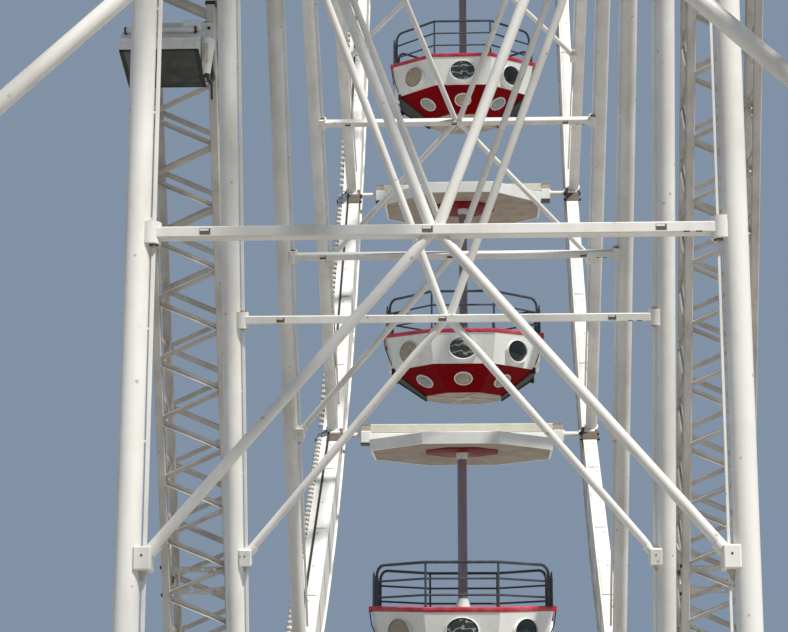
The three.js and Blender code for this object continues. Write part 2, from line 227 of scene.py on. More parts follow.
# Dark brown: the inside of a tube seen through its slots, painted shade with brown flash rust; also the
# painted shadow lines across the rims, and the brackets at the rim joints
RUST_AND_PAINTED_SHADE = weathered("rust_and_painted_shade", "#5d5246", "#3a3029", 0.06, 1.0, 0.002, 0.8, 0.5, 0.0)
LAMP_WHITE = weathered("powder_coat_white", "#d5d5cf", "#9d968a", 0.15, 1.5, 0.003, 0.45, 0.4, 0.3)
# Anodised reflector sheet gone dull green-grey
REFLECTOR = weathered("dull_anodised_sheet", "#5b625a", "#3f443f", 0.10, 1.0, 0.002, 0.35, 0.5, 0.0, **{
    "Metallic": 0.4})
# Opal polycarbonate caps of the rim lamps
LAMP_CAP = weathered("opal_polycarbonate", "#c4bfb6", "#948d82", 0.05, 1.0, 0.001, 0.25, 0.3, 0.0)


def clear_sheet(name, tint, film, rough, dust, clear, painted_ripple=0.0):
    """Moulded sheet with a tint, a film of dust in patches 60 mm wide, and ripples of bent light painted into
    its colour as pale wavy reflections.
    """
    material = bpy.data.materials.new(name)
    material.use_nodes = True
    tree = material.node_tree
    tree.nodes.clear()
    place = add(tree, "ShaderNodeTexCoord").outputs["Object"]
    cloud = add(tree, "ShaderNodeTexNoise", {"Vector": place, "Scale": 1 / 0.06, "Detail": 4.0})
    haze = add(tree, "ShaderNodeMapRange", {
        "Value": cloud.outputs["Fac"], "From Min": 0.4, "From Max": 0.8, "To Min": rough, "To Max": dust})
    colour = add(tree, "ShaderNodeMix", {
        MIX_FACTOR: cloud.outputs["Fac"], MIX_A: linear(tint), MIX_B: linear(film)},
        data_type="RGBA").outputs[MIX_COLOUR]
    if painted_ripple:
        bands = add(tree, "ShaderNodeTexWave", {
            "Vector": place, "Scale": 4.0, "Distortion": 5.0, "Detail": 1.0, "Detail Scale": 4.0},
            bands_direction="Z")
        lines = add(tree, "ShaderNodeMapRange", {
            "Value": bands.outputs["Fac"], "From Min": 0.80, "From Max": 0.98, "To Max": painted_ripple})
        colour = add(tree, "ShaderNodeMix", {
            MIX_FACTOR: lines.outputs["Result"], MIX_A: colour, MIX_B: linear("#c9cec9")},
            data_type="RGBA").outputs[MIX_COLOUR]
    surface = add(tree, "ShaderNodeBsdfPrincipled", {
        "Base Color": colour, "Roughness": haze.outputs["Result"],
        "Transmission Weight": clear, "IOR": 1.49})
    add(tree, "ShaderNodeOutputMaterial", {"Surface": surface.outputs["BSDF"]})
    return material


# Acrylic domes: smoked ones, ones with a tan film of dust, and pale weathered ones
# The smoked ones carry pale wavy bands of painted reflection
SMOKED_ACRYLIC = clear_sheet("smoked_acrylic", "#2b3535", "#4a5150", 0.05, 0.2, 0.45, 0.65)
BLACK_ACRYLIC = clear_sheet("dark_smoked_acrylic", "#14191c", "#23282b", 0.05, 0.2, 0.35)
TAN_ACRYLIC = clear_sheet("dusty_acrylic", "#a8957b", "#c0b199", 0.15, 0.4, 0.25)
PALE_ACRYLIC = clear_sheet("weathered_acrylic", "#8f999c", "#b3b4ae", 0.12, 0.35, 0.25)
# Toughened glass of the floodlight
FLOOD_GLASS = clear_sheet("toughened_glass", "#4e544d", "#5f665e", 0.05, 0.2, 0.5)


# Shapes

def into_mesh(shape, name="part"):
    """A mesh of a shape, which is then freed."""
    mesh = bpy.data.meshes.new(name)
    shape.to_mesh(mesh)
    shape.free()
    return mesh


@contextmanager
def part(piece, paint=0, place=None):
    """One closed shape, which goes into a piece with one of its paints."""
    shape = bmesh.new()
    yield shape
    if place is not None:
        bmesh.ops.transform(shape, matrix=place, verts=shape.verts)
    bmesh.ops.recalc_face_normals(shape, faces=shape.faces)
    for face in shape.faces:
        face.material_index = paint
    mesh = into_mesh(shape)
    piece.from_mesh(mesh)
    bpy.data.meshes.remove(mesh)


def axes(across, along, out, at):
    """A matrix that takes X, Y and Z to three directions, and the origin to a place."""
    turned_to = Matrix((across, along, out)).transposed()
    return Matrix.Translation(at) @ turned_to.to_4x4()


def soften(shape, width, segments=1, edges=None):
    """Rounds some edges of a shape, or all."""
    bmesh.ops.bevel(
        shape, geom=edges or shape.edges[:], offset=width, segments=segments, profile=0.5,
        affect="EDGES", material=-1)


def thicken(shape, faces, by):
    """Extrudes flat faces by a distance into a closed wall or plate."""
    grown = bmesh.ops.extrude_face_region(shape, geom=faces)["geom"]
    moved = [item for item in grown if isinstance(item, bmesh.types.BMVert)]
    bmesh.ops.translate(shape, vec=by, verts=moved)


def block(piece, low, high, paint=0, round_off=0.0, place=None):
    """A box between two corners."""
    low, high = Vector(low), Vector(high)
    with part(piece, paint, place) as shape:
        bmesh.ops.create_cube(shape, size=1.0)
        bmesh.ops.scale(shape, vec=high - low, verts=shape.verts)
        bmesh.ops.translate(shape, vec=(low + high) / 2, verts=shape.verts)
        if round_off:
            soften(shape, round_off)


def bar(piece, start, end, width, depth, facing, paint=0, round_off=0.0):
    """A rectangular bar between two points, depth thick towards facing."""
    start, end = Vector(start), Vector(end)
    along = (end - start).normalized()
    across = along.cross(facing).normalized()
    place = axes(across, along, across.cross(along), (start + end) / 2)
    half = Vector((width, (end - start).length, depth)) / 2
    block(piece, -half, half, paint, round_off, place)


def rod(piece, start, end, radius, sides=8, paint=0, end_radius=None):
    """A round bar between two points, or a cone where the end has its own radius."""
    start, end = Vector(start), Vector(end)
    turn = (end - start).to_track_quat("Z", "Y").to_matrix().to_4x4()
    with part(piece, paint, Matrix.Translation((start + end) / 2) @ turn) as shape:
        bmesh.ops.create_cone(
            shape, cap_ends=True, segments=sides, radius1=radius,
            radius2=radius if end_radius is None else end_radius, depth=(end - start).length)


def bent_rod(piece, path, radius, sides=8, paint=0):
    """A round bar along a list of points, mitred at each."""
    path = [Vector(point) for point in path]
    ways = [(b - a).normalized() for a, b in zip(path, path[1:])]
    with part(piece, paint) as shape:
        turn = ways[0].to_track_quat("Z", "Y").to_matrix().to_4x4()
        ring = bmesh.ops.create_circle(
            shape, cap_ends=True, segments=sides, radius=radius,
            matrix=Matrix.Translation(path[0]) @ turn)["verts"]
        edges = shape.edges[:]
        for i, way in enumerate(ways):
            across = way if i + 1 == len(ways) else (way + ways[i + 1]).normalized()
            grown = bmesh.ops.extrude_edge_only(shape, edges=edges)["geom"]
            ring = [item for item in grown if isinstance(item, bmesh.types.BMVert)]
            edges = [item for item in grown if isinstance(item, bmesh.types.BMEdge)]
            for vert in ring:
                vert.co += way * ((path[i + 1] - vert.co).dot(across) / way.dot(across))
        bmesh.ops.edgeloop_fill(shape, edges=edges)


def turned(piece, profile, sides, paint=0, place=None, start=0.0):
    """A profile of radii and heights spun about Z. It closes on itself, or starts and ends at radius 0."""
    with part(piece, paint, place) as shape:
        verts = [shape.verts.new((radius, 0, height)) for radius, height in profile]
        pairs = list(zip(verts, verts[1:]))
        if profile[0][0] > 0:
            pairs.append((verts[-1], verts[0]))
        edges = [shape.edges.new(pair) for pair in pairs]
        bmesh.ops.rotate(shape, matrix=Matrix.Rotation(start, 3, "Z"), verts=verts)
        bmesh.ops.spin(
            shape, geom=verts + edges, cent=(0, 0, 0), axis=(0, 0, 1), dvec=(0, 0, 0),
            angle=math.tau, steps=sides, use_merge=True)
        bmesh.ops.remove_doubles(shape, verts=shape.verts, dist=1e-5)


def octagonal(piece, profile, paint=0):
    """A turned shape with eight flats, which face X, Y and between. Radii are half-widths across flats."""
    corner = 1 / math.cos(math.pi / 8)
    turned(piece, [(half * corner, z) for half, z in profile], 8, paint, None, math.pi / 8)


def section(piece, outline, start, end, facing, paint=0):
    """A bar with a flat outline of across and out distances, such as an angle or an I section."""
    start, end = Vector(start), Vector(end)
    along = (end - start).normalized()
    across = along.cross(facing).normalized()
    place = axes(across, across.cross(along), -along, start)
    with part(piece, paint, place) as shape:
        face = shape.faces.new([shape.verts.new((a, b, 0)) for a, b in outline])
        thicken(shape, [face], (0, 0, -(end - start).length))


def bolt(piece, at, out, radius, height, paint):
    """A hexagon bolt head."""
    out = Vector(out)
    rod(piece, Vector(at), Vector(at) + out * height, radius, 6, paint)


def add_turned(piece, mesh, angle):
    """Adds a copy of a mesh to a piece, turned about the axle."""
    copy = mesh.copy()
    copy.transform(Matrix.Rotation(angle, 4, "X"))
    piece.from_mesh(copy)
    bpy.data.meshes.remove(copy)


def finish(piece, name, body, paints, nodes=(), place=None):
    """Makes an object of a piece, on a body, with its paints and the nodes that it stands for."""
    mesh = bpy.data.meshes.new(name)
    piece.to_mesh(mesh)
    if place is not None:
        mesh.transform(place)
    mesh.shade_smooth()
    mesh.set_sharp_from_angle(angle=math.radians(32))
    made = bpy.data.objects.new(name, mesh)
    bpy.context.scene.collection.objects.link(made)
    for paint in paints:
        mesh.materials.append(paint)
    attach(made, body)
    if nodes:
        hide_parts(*nodes)


# Cabin, built round its own pivot

HOLE_SIDES = 20
UPPER_HOLE = (0.160, 0.134, -0.014)     # half wide, half tall, lift above the flat's middle
LOWER_HOLE = (0.100, 0.100, 0.0)
# A porthole ring's ovals: half wide, half tall, lift, distance out, and the lower side's lean
UPPER_COLLAR = [
    (0.172, 0.150, -0.030, -0.002, 0.000),
    (0.157, 0.125, -0.010, 0.020, 0.034),
    (0.151, 0.119, -0.007, 0.018, 0.030),
    (0.151, 0.120, -0.008, -0.020, 0.000)]
LOWER_COLLAR = [
    (0.106, 0.106, 0.0, -0.002, 0.0),
    (0.104, 0.104, 0.0, 0.010, 0.0),
    (0.092, 0.092, 0.0, 0.012, 0.0),
    (0.090, 0.090, 0.0, -0.015, 0.0)]


def flat_place(index, top_half, top_z, low_half, low_z):
    """A flat's own axes: X across it, Y up its slope and Z out, at its middle. Also its slope's length."""
    angle = index * math.pi / 4
    out = Vector((math.cos(angle), math.sin(angle), 0))
    top = out * top_half + Z * top_z
    low = out * low_half + Z * low_z
    across = Vector((-out.y, out.x, 0))
    up = (top - low).normalized()
    return axes(across, up, across.cross(up), (top + low) / 2), (top - low).length


def oval(shape, half_wide, half_tall, lift, segments, out=0.0, lean=0.0):
    """A closed loop of edges: an ellipse whose lower side leans out by lean."""
    ring = bmesh.ops.create_circle(shape, segments=segments, radius=1.0)["verts"]
    for vert in ring:
        share = (1 - vert.co.y) / 2
        vert.co = Vector((vert.co.x * half_wide, vert.co.y * half_tall + lift, out + lean * share))
    return list({edge for vert in ring for edge in vert.link_edges})


def edge_rise(index, side):
    """How much a flat's upper corner is lifted: gates are the flats that face along X."""
    return GATE_RISE if index % 4 == 0 or (index + side) % 4 == 0 else 0.0


def holed_flat(piece, index, top_half, top_z, low_half, low_z, hole, paint, climbs=False):
    """One flat wall, with an oval hole through it or none."""
    rises = [edge_rise(index, side) if climbs else 0.0 for side in (1, -1)]
    place, length = flat_place(index, top_half, top_z, low_half, low_z)
    with part(piece, paint, place) as shape:
        corners = [
            shape.verts.new((top_half * FLAT_TAN, length / 2 + rises[0], 0)),
            shape.verts.new((-top_half * FLAT_TAN, length / 2 + rises[1], 0)),
            shape.verts.new((-low_half * FLAT_TAN, -length / 2, 0)),
            shape.verts.new((low_half * FLAT_TAN, -length / 2, 0))]
        outline = [shape.edges.new((corners[i - 1], corners[i])) for i in range(4)]
        edges = outline + (oval(shape, *hole, HOLE_SIDES) if hole else [])
        bmesh.ops.triangle_fill(shape, use_beauty=True, edges=edges)
        thicken(shape, shape.faces[:], (0, 0, -WALL))


def collar(piece, place, loops, paint):
    """A porthole's raised ring: ovals bridged one to the next, and the last to the first."""
    with part(piece, paint, place) as shape:
        rings = [oval(shape, *loop[:3], HOLE_SIDES, *loop[3:]) for loop in loops]
        for first, second in zip(rings, rings[1:] + rings[:1]):
            bmesh.ops.bridge_loops(shape, edges=first + second)


def dome(piece, place, half_wide, half_tall, lift, out, lean, bulge, paint):
    """A clear dome with a thin wall."""
    with part(piece, paint, place) as shape:
        steps = 3
        rings = []
        for wall in (0.0, -0.005):
            for step in range(steps):
                angle = step * math.pi / (2 * steps)
                size = math.cos(angle)
                rings.append(oval(
                    shape, half_wide * size, half_tall * size, lift, HOLE_SIDES,
                    out + wall + bulge * math.sin(angle), lean))
        for start in (0, steps):
            for first, second in zip(rings[start:], rings[start + 1:start + steps]):
                bmesh.ops.bridge_loops(shape, edges=first + second)
            bmesh.ops.edgeloop_fill(shape, edges=rings[start + steps - 1])
        bmesh.ops.bridge_loops(shape, edges=rings[0] + rings[steps])


def cabin_shell(shell):
    """White mouldings: canopy, white band with its portholes, pole cones, cross beam and shaft."""
    octagonal(shell, [
        (CANOPY_LOW_HALF, CANOPY_LOW), (CANOPY_HALF, CANOPY_TOP - 0.006),
        (CANOPY_HALF - 0.006, CANOPY_TOP), (CANOPY_HALF - 0.03, CANOPY_TOP),
        (CANOPY_LOW_HALF - 0.022, CANOPY_LOW)])
    octagonal(shell, [
        (0, CANOPY_TOP - 0.012), (CANOPY_HALF - 0.02, CANOPY_TOP - 0.012),
        (CANOPY_HALF - 0.02, CANOPY_TOP), (0.3, CANOPY_TOP + 0.004), (0, CANOPY_TOP + 0.004)])
    for index in range(8):
        holed_flat(shell, index, RIM_HALF, RIM_Z, BAND_HALF, BAND_Z, UPPER_HOLE, GEL, True)
        place, _ = flat_place(index, RIM_HALF, RIM_Z, BAND_HALF, BAND_Z)
        collar(shell, place, UPPER_COLLAR, GEL)
        if index % 4:
            place, _ = flat_place(index, BAND_HALF, BAND_Z, BOTTOM_HALF, BOTTOM_Z)
            collar(shell, place, LOWER_COLLAR, GEL)
    # Cones where the pole meets the canopy and the tub
    turned(shell, [(0, -0.250), (0.050, -0.250), (0.053, -0.240), (0.062, -0.196), (0.062, -0.180),
                   (0, -0.180)], 16)
    turned(shell, [(0, -1.800), (0.085, -1.800), (0.070, -1.700), (0.052, -1.640), (0, -1.640)], 16)
    cross_beam(shell)


def cross_beam(shell):
    """The box beam over the canopy, its end blocks and the shaft to both rims."""
    half = BEAM_WIDTH / 2
    reach = BEAM_HALF - 0.09
    block(shell, (-reach, -half, CANOPY_TOP), (reach, half, 0.012), GEL, 0.006)
    # The upper part of the beam is cream-grey as painted shade
    block(shell, (-reach, -half + 0.004, 0.012), (reach, half - 0.004, BEAM_TOP), CREAM_SHADE, 0.008)
    for side in (-1, 1):
        ends = sorted((side * (BEAM_HALF - 0.105), side * BEAM_HALF))
        block(shell, (ends[0], -half - 0.010, CANOPY_TOP), (ends[1], half + 0.010, 0.036), GEL, 0.007)
        # Each end block is brown-grey above and white below, with a thin black plate under it
        block(shell, (ends[0] + 0.003, -half, 0.030), (ends[1] - 0.003, half, BEAM_TOP - 0.006), END_TOP_BROWN, 0.004)
        block(shell, (ends[0] - 0.002, -half - 0.012, -0.098), (ends[1] + 0.002, half + 0.012, -0.089), UNDER_BLACK)
        block(shell, (ends[0] + 0.004, -half - 0.004, BEAM_TOP - 0.006),
              (ends[1] - 0.004, half + 0.004, BEAM_TOP), END_TOP_BROWN)
        rod(shell, (side * BEAM_HALF, 0, 0), (side * 1.221, 0, 0), 0.028, 16)
        rod(shell, (side * 1.180, 0, 0), (side * 1.200, 0, 0), 0.044, 16)
        rod(shell, (side * BEAM_HALF, 0, 0), (side * (BEAM_HALF + 0.015), 0, 0), 0.044, 16)


def cabin_red(red):
    """Dark red mouldings: the sloping lower band, black on the gate sides, and the plate in the canopy. The
    black on the gate sides is painted shade.
    """
    for index in range(8):
        # On the gate sides the lower flats are painted black: painted shade
        holed_flat(red, index, BAND_HALF, BAND_Z, BOTTOM_HALF, BOTTOM_Z, LOWER_HOLE if index % 4 else None,
                   0 if index % 4 else 1)
    octagonal(red, [(0, -0.184), (0.345, -0.184), (0.362, -0.178), (0.362, -0.165), (0, -0.165)])


def cabin_trim(trim):
    """Rounded red edge of the tub, in eight lengths, with thicker ends beside the gates."""
    for index in range(8):
        gate = index % 4 == 0
        proud = 0.020 if gate else 0.012
        place, _ = flat_place(index, RIM_HALF, RIM_Z + 0.028, RIM_HALF - 0.012, RIM_Z - 0.032)
        reach = RIM_HALF * FLAT_TAN + (-0.012 if gate else 0.004)
        with part(trim, 0, place) as shape:
            bmesh.ops.create_cube(shape, size=1.0)
            bmesh.ops.scale(shape, vec=(2 * reach, 0.048, proud + WALL + 0.012), verts=shape.verts)
            bmesh.ops.translate(shape, vec=(0, 0, (proud - WALL - 0.012) / 2), verts=shape.verts)
            soften(shape, 0.011, 2)
            for vert in shape.verts:
                share = (vert.co.x / reach + 1) / 2
                vert.co.y += share * edge_rise(index, 1) + (1 - share) * edge_rise(index, -1)
        if not gate:
            continue
        for side in (-1, 1):
            at = place @ Vector((side * (reach - 0.02), GATE_RISE, 0.010))
            rod(trim, at - Z * 0.028, at + Z * 0.030, 0.026, 12)
        bolt(trim, place @ Vector((0, GATE_RISE, proud)), place.to_3x3() @ Z, 0.010, 0.006, 1)


def rail_path(side, height, drop):
    """Rail centre line round one half of the tub, its ends bent down by drop, or level where that is 0."""
    gate = RAIL_HALF * FLAT_TAN
    plan = [(RAIL_HALF, side * gate), (gate, side * RAIL_HALF),
            (-gate, side * RAIL_HALF), (-RAIL_HALF, side * gate)]
    if not drop:
        return [Vector((x, y, height)) for x, y in plan]
    bend = 0.10
    halves = []
    for corner, beside in ((plan[0], plan[1]), (plan[3], plan[2])):
        post = Vector((corner[0], corner[1], height))
        inward = (Vector((beside[0], beside[1], height)) - post).normalized()
        arc = [post + inward * bend * (1 - math.cos(a)) - Z * bend * (1 - math.sin(a))
               for a in (0, math.pi / 8, math.pi / 4, 3 * math.pi / 8, math.pi / 2)]
        halves.append([post - Z * drop] + arc)
    middle = [Vector((x, y, height)) for x, y in plan[1:3]]
    return halves[0] + middle + halves[1][::-1]


def cabin_rails(rails):
    """Dark rails on both halves of the tub, their posts, and the bar gates between."""
    gate = RAIL_HALF * FLAT_TAN
    for side in (-1, 1):
        bent_rod(rails, rail_path(side, RAIL_Z[0], RAIL_Z[0] - RIM_Z), 0.0145, 10)
        for height in RAIL_Z[1:]:
            bent_rod(rails, rail_path(side, height, 0), 0.0105, 8)
        for x in (-gate, gate):
            rod(rails, (x, side * RAIL_HALF, RIM_Z), (x, side * RAIL_HALF, RAIL_Z[0]), 0.011, 8)
            rod(rails, (x, side * RAIL_HALF, RIM_Z + 0.02), (x, side * RAIL_HALF, RIM_Z + 0.035), 0.022, 8)
        for x in (-1, 1):
            outer = x * (RAIL_HALF + 0.030)
            beside = side * (gate - 0.045)
            post = side * (gate - 0.020)
            # A second, shorter loop beside each end post, and a capped outer post
            bent_rod(rails, [
                (outer, side * gate, RIM_Z - 0.02), (outer, side * gate, -1.47),
                (outer, side * gate, -1.43), (outer, post, -1.41), (outer, beside, -1.43),
                (outer, beside, RIM_Z)], 0.009, 8)
            rod(rails, (outer, post, RIM_Z), (outer, post, -1.455), 0.013, 8)
            rod(rails, (outer, post, -1.455), (outer, post, -1.435), 0.016, 8, 1)
    for x in (-1, 1):
        gate_bars(rails, x * (RAIL_HALF + 0.012), gate - 0.07)


def gate_bars(rails, x, reach):
    """A bar gate: a bent frame with a bar across, and two bars that cross near the tub's edge."""
    low, high = RIM_Z + 0.05, -1.44
    frame_bar = [(x, -reach, low), (x, -reach, high - 0.05), (x, -reach + 0.05, high),
                 (x, reach - 0.05, high), (x, reach, high - 0.05), (x, reach, low)]
    bent_rod(rails, frame_bar, 0.010, 8)
    rod(rails, (x, -reach, low + 0.01), (x, reach, low + 0.01), 0.009, 8)
    for side in (-1, 1):
        rod(rails, (x, -side * reach, low), (x, side * reach, (low + high) / 2), 0.007, 6)


def cabin_straps(straps):
    """Black rubber edges and straps on the gate sides, and small brackets."""
    for x in (-1, 1):
        for side in (-1, 1):
            corner = lambda half, z: Vector((x * (half + 0.006), side * half * FLAT_TAN, z))
            rod(straps, corner(BAND_HALF, BAND_Z), corner(BOTTOM_HALF, BOTTOM_Z), 0.011, 8)
            bent_rod(straps, [
                corner(RIM_HALF + 0.016, RIM_Z), corner(RIM_HALF, RIM_Z - 0.12),
                corner(BAND_HALF + 0.012, RIM_Z - 0.29), corner(BAND_HALF + 0.004, RIM_Z - 0.31)], 0.006, 6)
            at = corner(BAND_HALF - 0.01, BAND_Z - 0.01)
            block(straps, at - Vector((0.02, 0.03, 0.035)), at + Vector((0.02, 0.03, 0.035)), 0, 0.005)
        low, reach = x * (BOTTOM_HALF + 0.004), BOTTOM_HALF * FLAT_TAN
        rod(straps, (low, -reach, BOTTOM_Z), (low, reach, BOTTOM_Z), 0.011, 8)
        edge, reach = x * (BAND_HALF + 0.002), BAND_HALF * FLAT_TAN
        rod(straps, (edge, -reach, BAND_Z), (edge, reach, BAND_Z), 0.008, 8)


def cabin_soffit(soffit):
    """Unfinished faces: the canopy's underside and the tub's bottom with its frame."""
    octagonal(soffit, [(0, -0.170), (0.40, -0.172), (CANOPY_LOW_HALF - 0.024, -0.199),
                       (CANOPY_LOW_HALF - 0.024, -0.188), (0.40, -0.160), (0, -0.158)])
    octagonal(soffit, [
        (0, BOTTOM_Z + 0.004), (BOTTOM_HALF - 0.035, BOTTOM_Z + 0.004), (BOTTOM_HALF - 0.030, BOTTOM_Z),
        (BOTTOM_HALF - 0.002, BOTTOM_Z), (BOTTOM_HALF, BOTTOM_Z + 0.006),
        (BOTTOM_HALF - 0.01, BOTTOM_Z + 0.03), (0, BOTTOM_Z + 0.03)])
    for turn in (math.pi / 8, 5 * math.pi / 8):
        place = Matrix.Rotation(turn, 4, "Z")
        block(soffit, (-0.38, -0.022, BOTTOM_Z - 0.004), (0.38, 0.022, BOTTOM_Z + 0.010), 1, 0.003, place)
    block(soffit, (-0.10, -0.06, BOTTOM_Z - 0.006), (0.10, 0.06, BOTTOM_Z + 0.004), 1, 0.003)


def cabin_bench(bench):
    """A ring bench round the inside of the tub."""
    octagonal(bench, [(0.46, -2.005), (0.47, -1.985), (0.78, -1.985), (0.775, -2.02), (0.46, -2.02)])
    octagonal(bench, [(0.49, -2.02), (0.50, -2.02), (0.50, -2.35), (0.49, -2.35)])


def cabin_glass(glass):
    """Domed glasses of the fourteen portholes: smoked, dark, or pale with dust and weather."""
    smoked, dusty, pale, dark = range(4)
    for index in range(8):
        place, _ = flat_place(index, RIM_HALF, RIM_Z, BAND_HALF, BAND_Z)
        tint = dusty if index in (3, 4, 5) else smoked if index in (2, 6) else dark
        dome(glass, place, 0.150, 0.117, -0.007, 0.002, 0.026, 0.026, tint)
        if index % 4 == 0:
            continue
        place, _ = flat_place(index, BAND_HALF, BAND_Z, BOTTOM_HALF, BOTTOM_Z)
        tint = dusty if index in (2, 6) else pale
        dome(glass, place, 0.089, 0.089, 0.0, 0.0, 0.0, 0.022, tint)


def cabin_pole(pole):
    """The pole down the cabin's middle, with a foot plate."""
    rod(pole, (0, 0, BOTTOM_Z + 0.03), (0, 0, -0.19), 0.0475, 20)
    turned(pole, [(0, BOTTOM_Z + 0.03), (0.11, BOTTOM_Z + 0.03), (0.11, BOTTOM_Z + 0.045),
                  (0.06, BOTTOM_Z + 0.055), (0, BOTTOM_Z + 0.055)], 16)


CABIN_PIECES = [
    ("shell", cabin_shell, "cabin_white", [CABIN_WHITE, BEAM_CREAM_SHADE, BLACK_STEEL, SOFFIT]),
    ("red_band", cabin_red, "cabin_red", [CABIN_RED, RUBBER]),
    ("trim", cabin_trim, "trim_red", [TRIM_RED, BLACK_STEEL]),
    ("rails", cabin_rails, "rail_steel", [RAIL_GREY, CABIN_WHITE]),
    ("straps", cabin_straps, "cable_black", [RUBBER]),
    ("soffit", cabin_soffit, "soffit", [SOFFIT, STAINED_AND_SHADED_STEEL]),
    ("bench", cabin_bench, "seat", [BENCH]),
    ("glass", cabin_glass, "porthole_glass", [SMOKED_ACRYLIC, TAN_ACRYLIC, PALE_ACRYLIC, BLACK_ACRYLIC]),
    ("pole", cabin_pole, "pole_paint", [POLE_MAUVE])]


def make_cabins():
    """All cabins, each a copy of the same pieces hung at its own pivot."""
    for kind, build, slot_name, paints in CABIN_PIECES:
        piece = bmesh.new()
        build(piece)
        for cabin in CABINS:
            place = Matrix.Translation(JOINT_AT[cabin + "_swing"])
            finish(piece, f"{cabin}_{kind}", cabin + "_body", paints, [cabin], place)
        piece.free()


# Spoke frames, built hanging straight down from the hub

WHEEL_PAINTS = [WHITE_STEEL, BLACK_STEEL, STAINED_AND_SHADED_STEEL, RUST_AND_PAINTED_SHADE]


def half_track(radius):
    """How far the spokes stand to each side of the wheel's plane, at a distance from the hub."""
    return HUB_HALF_TRACK + (RIM_HALF_TRACK - HUB_HALF_TRACK) * radius / PIVOT_RADIUS


def spoke_frame(piece):
    """Two spokes, their cross tubes and braces, with sleeves, gusset boxes and lamp strips."""
    tip = PIVOT_RADIUS - RIM_DEPTH / 2 - 0.010
    foot = (DRUM_RADIUS + FLANGE_RADIUS) / 2
    for side in (-1, 1):
        at = lambda radius, inward=0.0, near=0.0, side=side: Vector(
            (side * (half_track(radius) - inward), near, -radius))
        rod(piece, at(foot), at(tip), SPOKE_RADIUS, 20)
        rod(piece, at(tip - 0.02), at(tip), SPOKE_RADIUS + 0.012, 20)
        bar(piece, at(2.1, 0.0725), at(tip - 0.3, 0.0725), 0.018, 0.012, Y, 0, 0.002)
        for step in range(28):
            radius = 2.2 + 0.5 * step
            bar(piece, at(radius, 0.05), at(radius, 0.066), 0.010, 0.008, Y, 0)
        for radius in (OUTER_GUSSET_AT, INNER_GUSSET_AT):
            gusset(piece, at, radius)
        for radius in (CROSS_AT, INNER_CROSS_AT):
            sleeve(piece, at, radius)
        centre = Vector((side * 0.010, 0, -CROSS_AT))
        for radius in (OUTER_GUSSET_AT, INNER_GUSSET_AT):
            rod(piece, centre, at(radius, 0.06), BRACE_RADIUS, 12)
    for radius in (CROSS_AT, INNER_CROSS_AT):
        cross_tube(piece, radius)


def gusset(piece, at, radius):
    """A box welded to the spoke's inner side, which holds a brace by its end, over a small funnel painted
    darker as the shade under the box.
    """
    outward = 1 if radius > CROSS_AT else -1
    centre = at(radius, 0.068)
    block(piece, centre - Vector((0.038, 0.056, 0.051)), centre + Vector((0.038, 0.056, 0.051)), 0, 0.006)
    # The funnel's darker paint is painted shade
    low = at(radius, 0.062) - Z * outward * 0.051
    rod(piece, low, low - Z * outward * 0.038, 0.027, 12, STAIN_AND_SHADE, 0.011)
    for near in (-1, 1):
        bolt(piece, centre + Vector((0, near * 0.056, 0.012)), (0, near, 0), 0.005, 0.002, BLACK)
    brace_way = (Vector((0, 0, -CROSS_AT)) - centre).normalized()
    rod(piece, centre + brace_way * 0.035, centre + brace_way * 0.085, 0.030, 12)


def sleeve(piece, at, radius):
    """An upright sleeve on the spoke's inner side, which holds a cross tube and passes the strip. Black discs
    at its ends are painted shade where the strip goes in.
    """
    rod(piece, at(radius - 0.050, 0.058), at(radius + 0.050, 0.058), 0.048, 24)
    for end in (-1, 1):
        face = radius + end * 0.050
        # Painted shade: a black disc at each end, round the strip
        rod(piece, at(face, 0.072), at(face + end * 0.0025, 0.072), 0.024, 12, BLACK)
        rod(piece, at(face, 0.072), at(face + end * 0.012, 0.072), 0.012, 8, STAIN_AND_SHADE, 0.009)


def cross_tube(piece, radius):
    """A box tube between the spokes, with oblong slots in both faces painted on, not cut: a dark patch for
    each slot's shaded inside and a painted lit strip over its upper part. Two black marks lie on its
    underside.
    """
    reach = half_track(radius) - 0.070
    tall, deep = CROSS_TALL / 2, CROSS_DEEP / 2
    block(piece, (-reach, -deep, -radius - tall), (reach, deep, -radius + tall), 0, 0.005)
    for near in (-1, 1):
        face = near * deep
        ys = sorted((face - near * 0.001, face + near * 0.0012))
        lit = sorted((face - near * 0.001, face + near * 0.0018))
        # Painted slots: dark rust brown stands for a slot's shaded inside, and the coat's white is a painted
        # lit strip
        for x in (-reach + 0.234, -0.030, reach - 0.254):
            block(piece, (x - 0.024, ys[0], -radius - 0.014), (x + 0.024, ys[1], -radius + 0.014), RUST_AND_SHADE)
            block(piece, (x - 0.022, lit[0], -radius + 0.003), (x + 0.016, lit[1], -radius + 0.012), COAT)
        low = -radius - tall
        for x in (reach - 0.145, reach - 0.090):
            block(piece, (x - 0.014, ys[0], low + 0.001), (x + 0.014, ys[1], low + 0.006), BLACK)


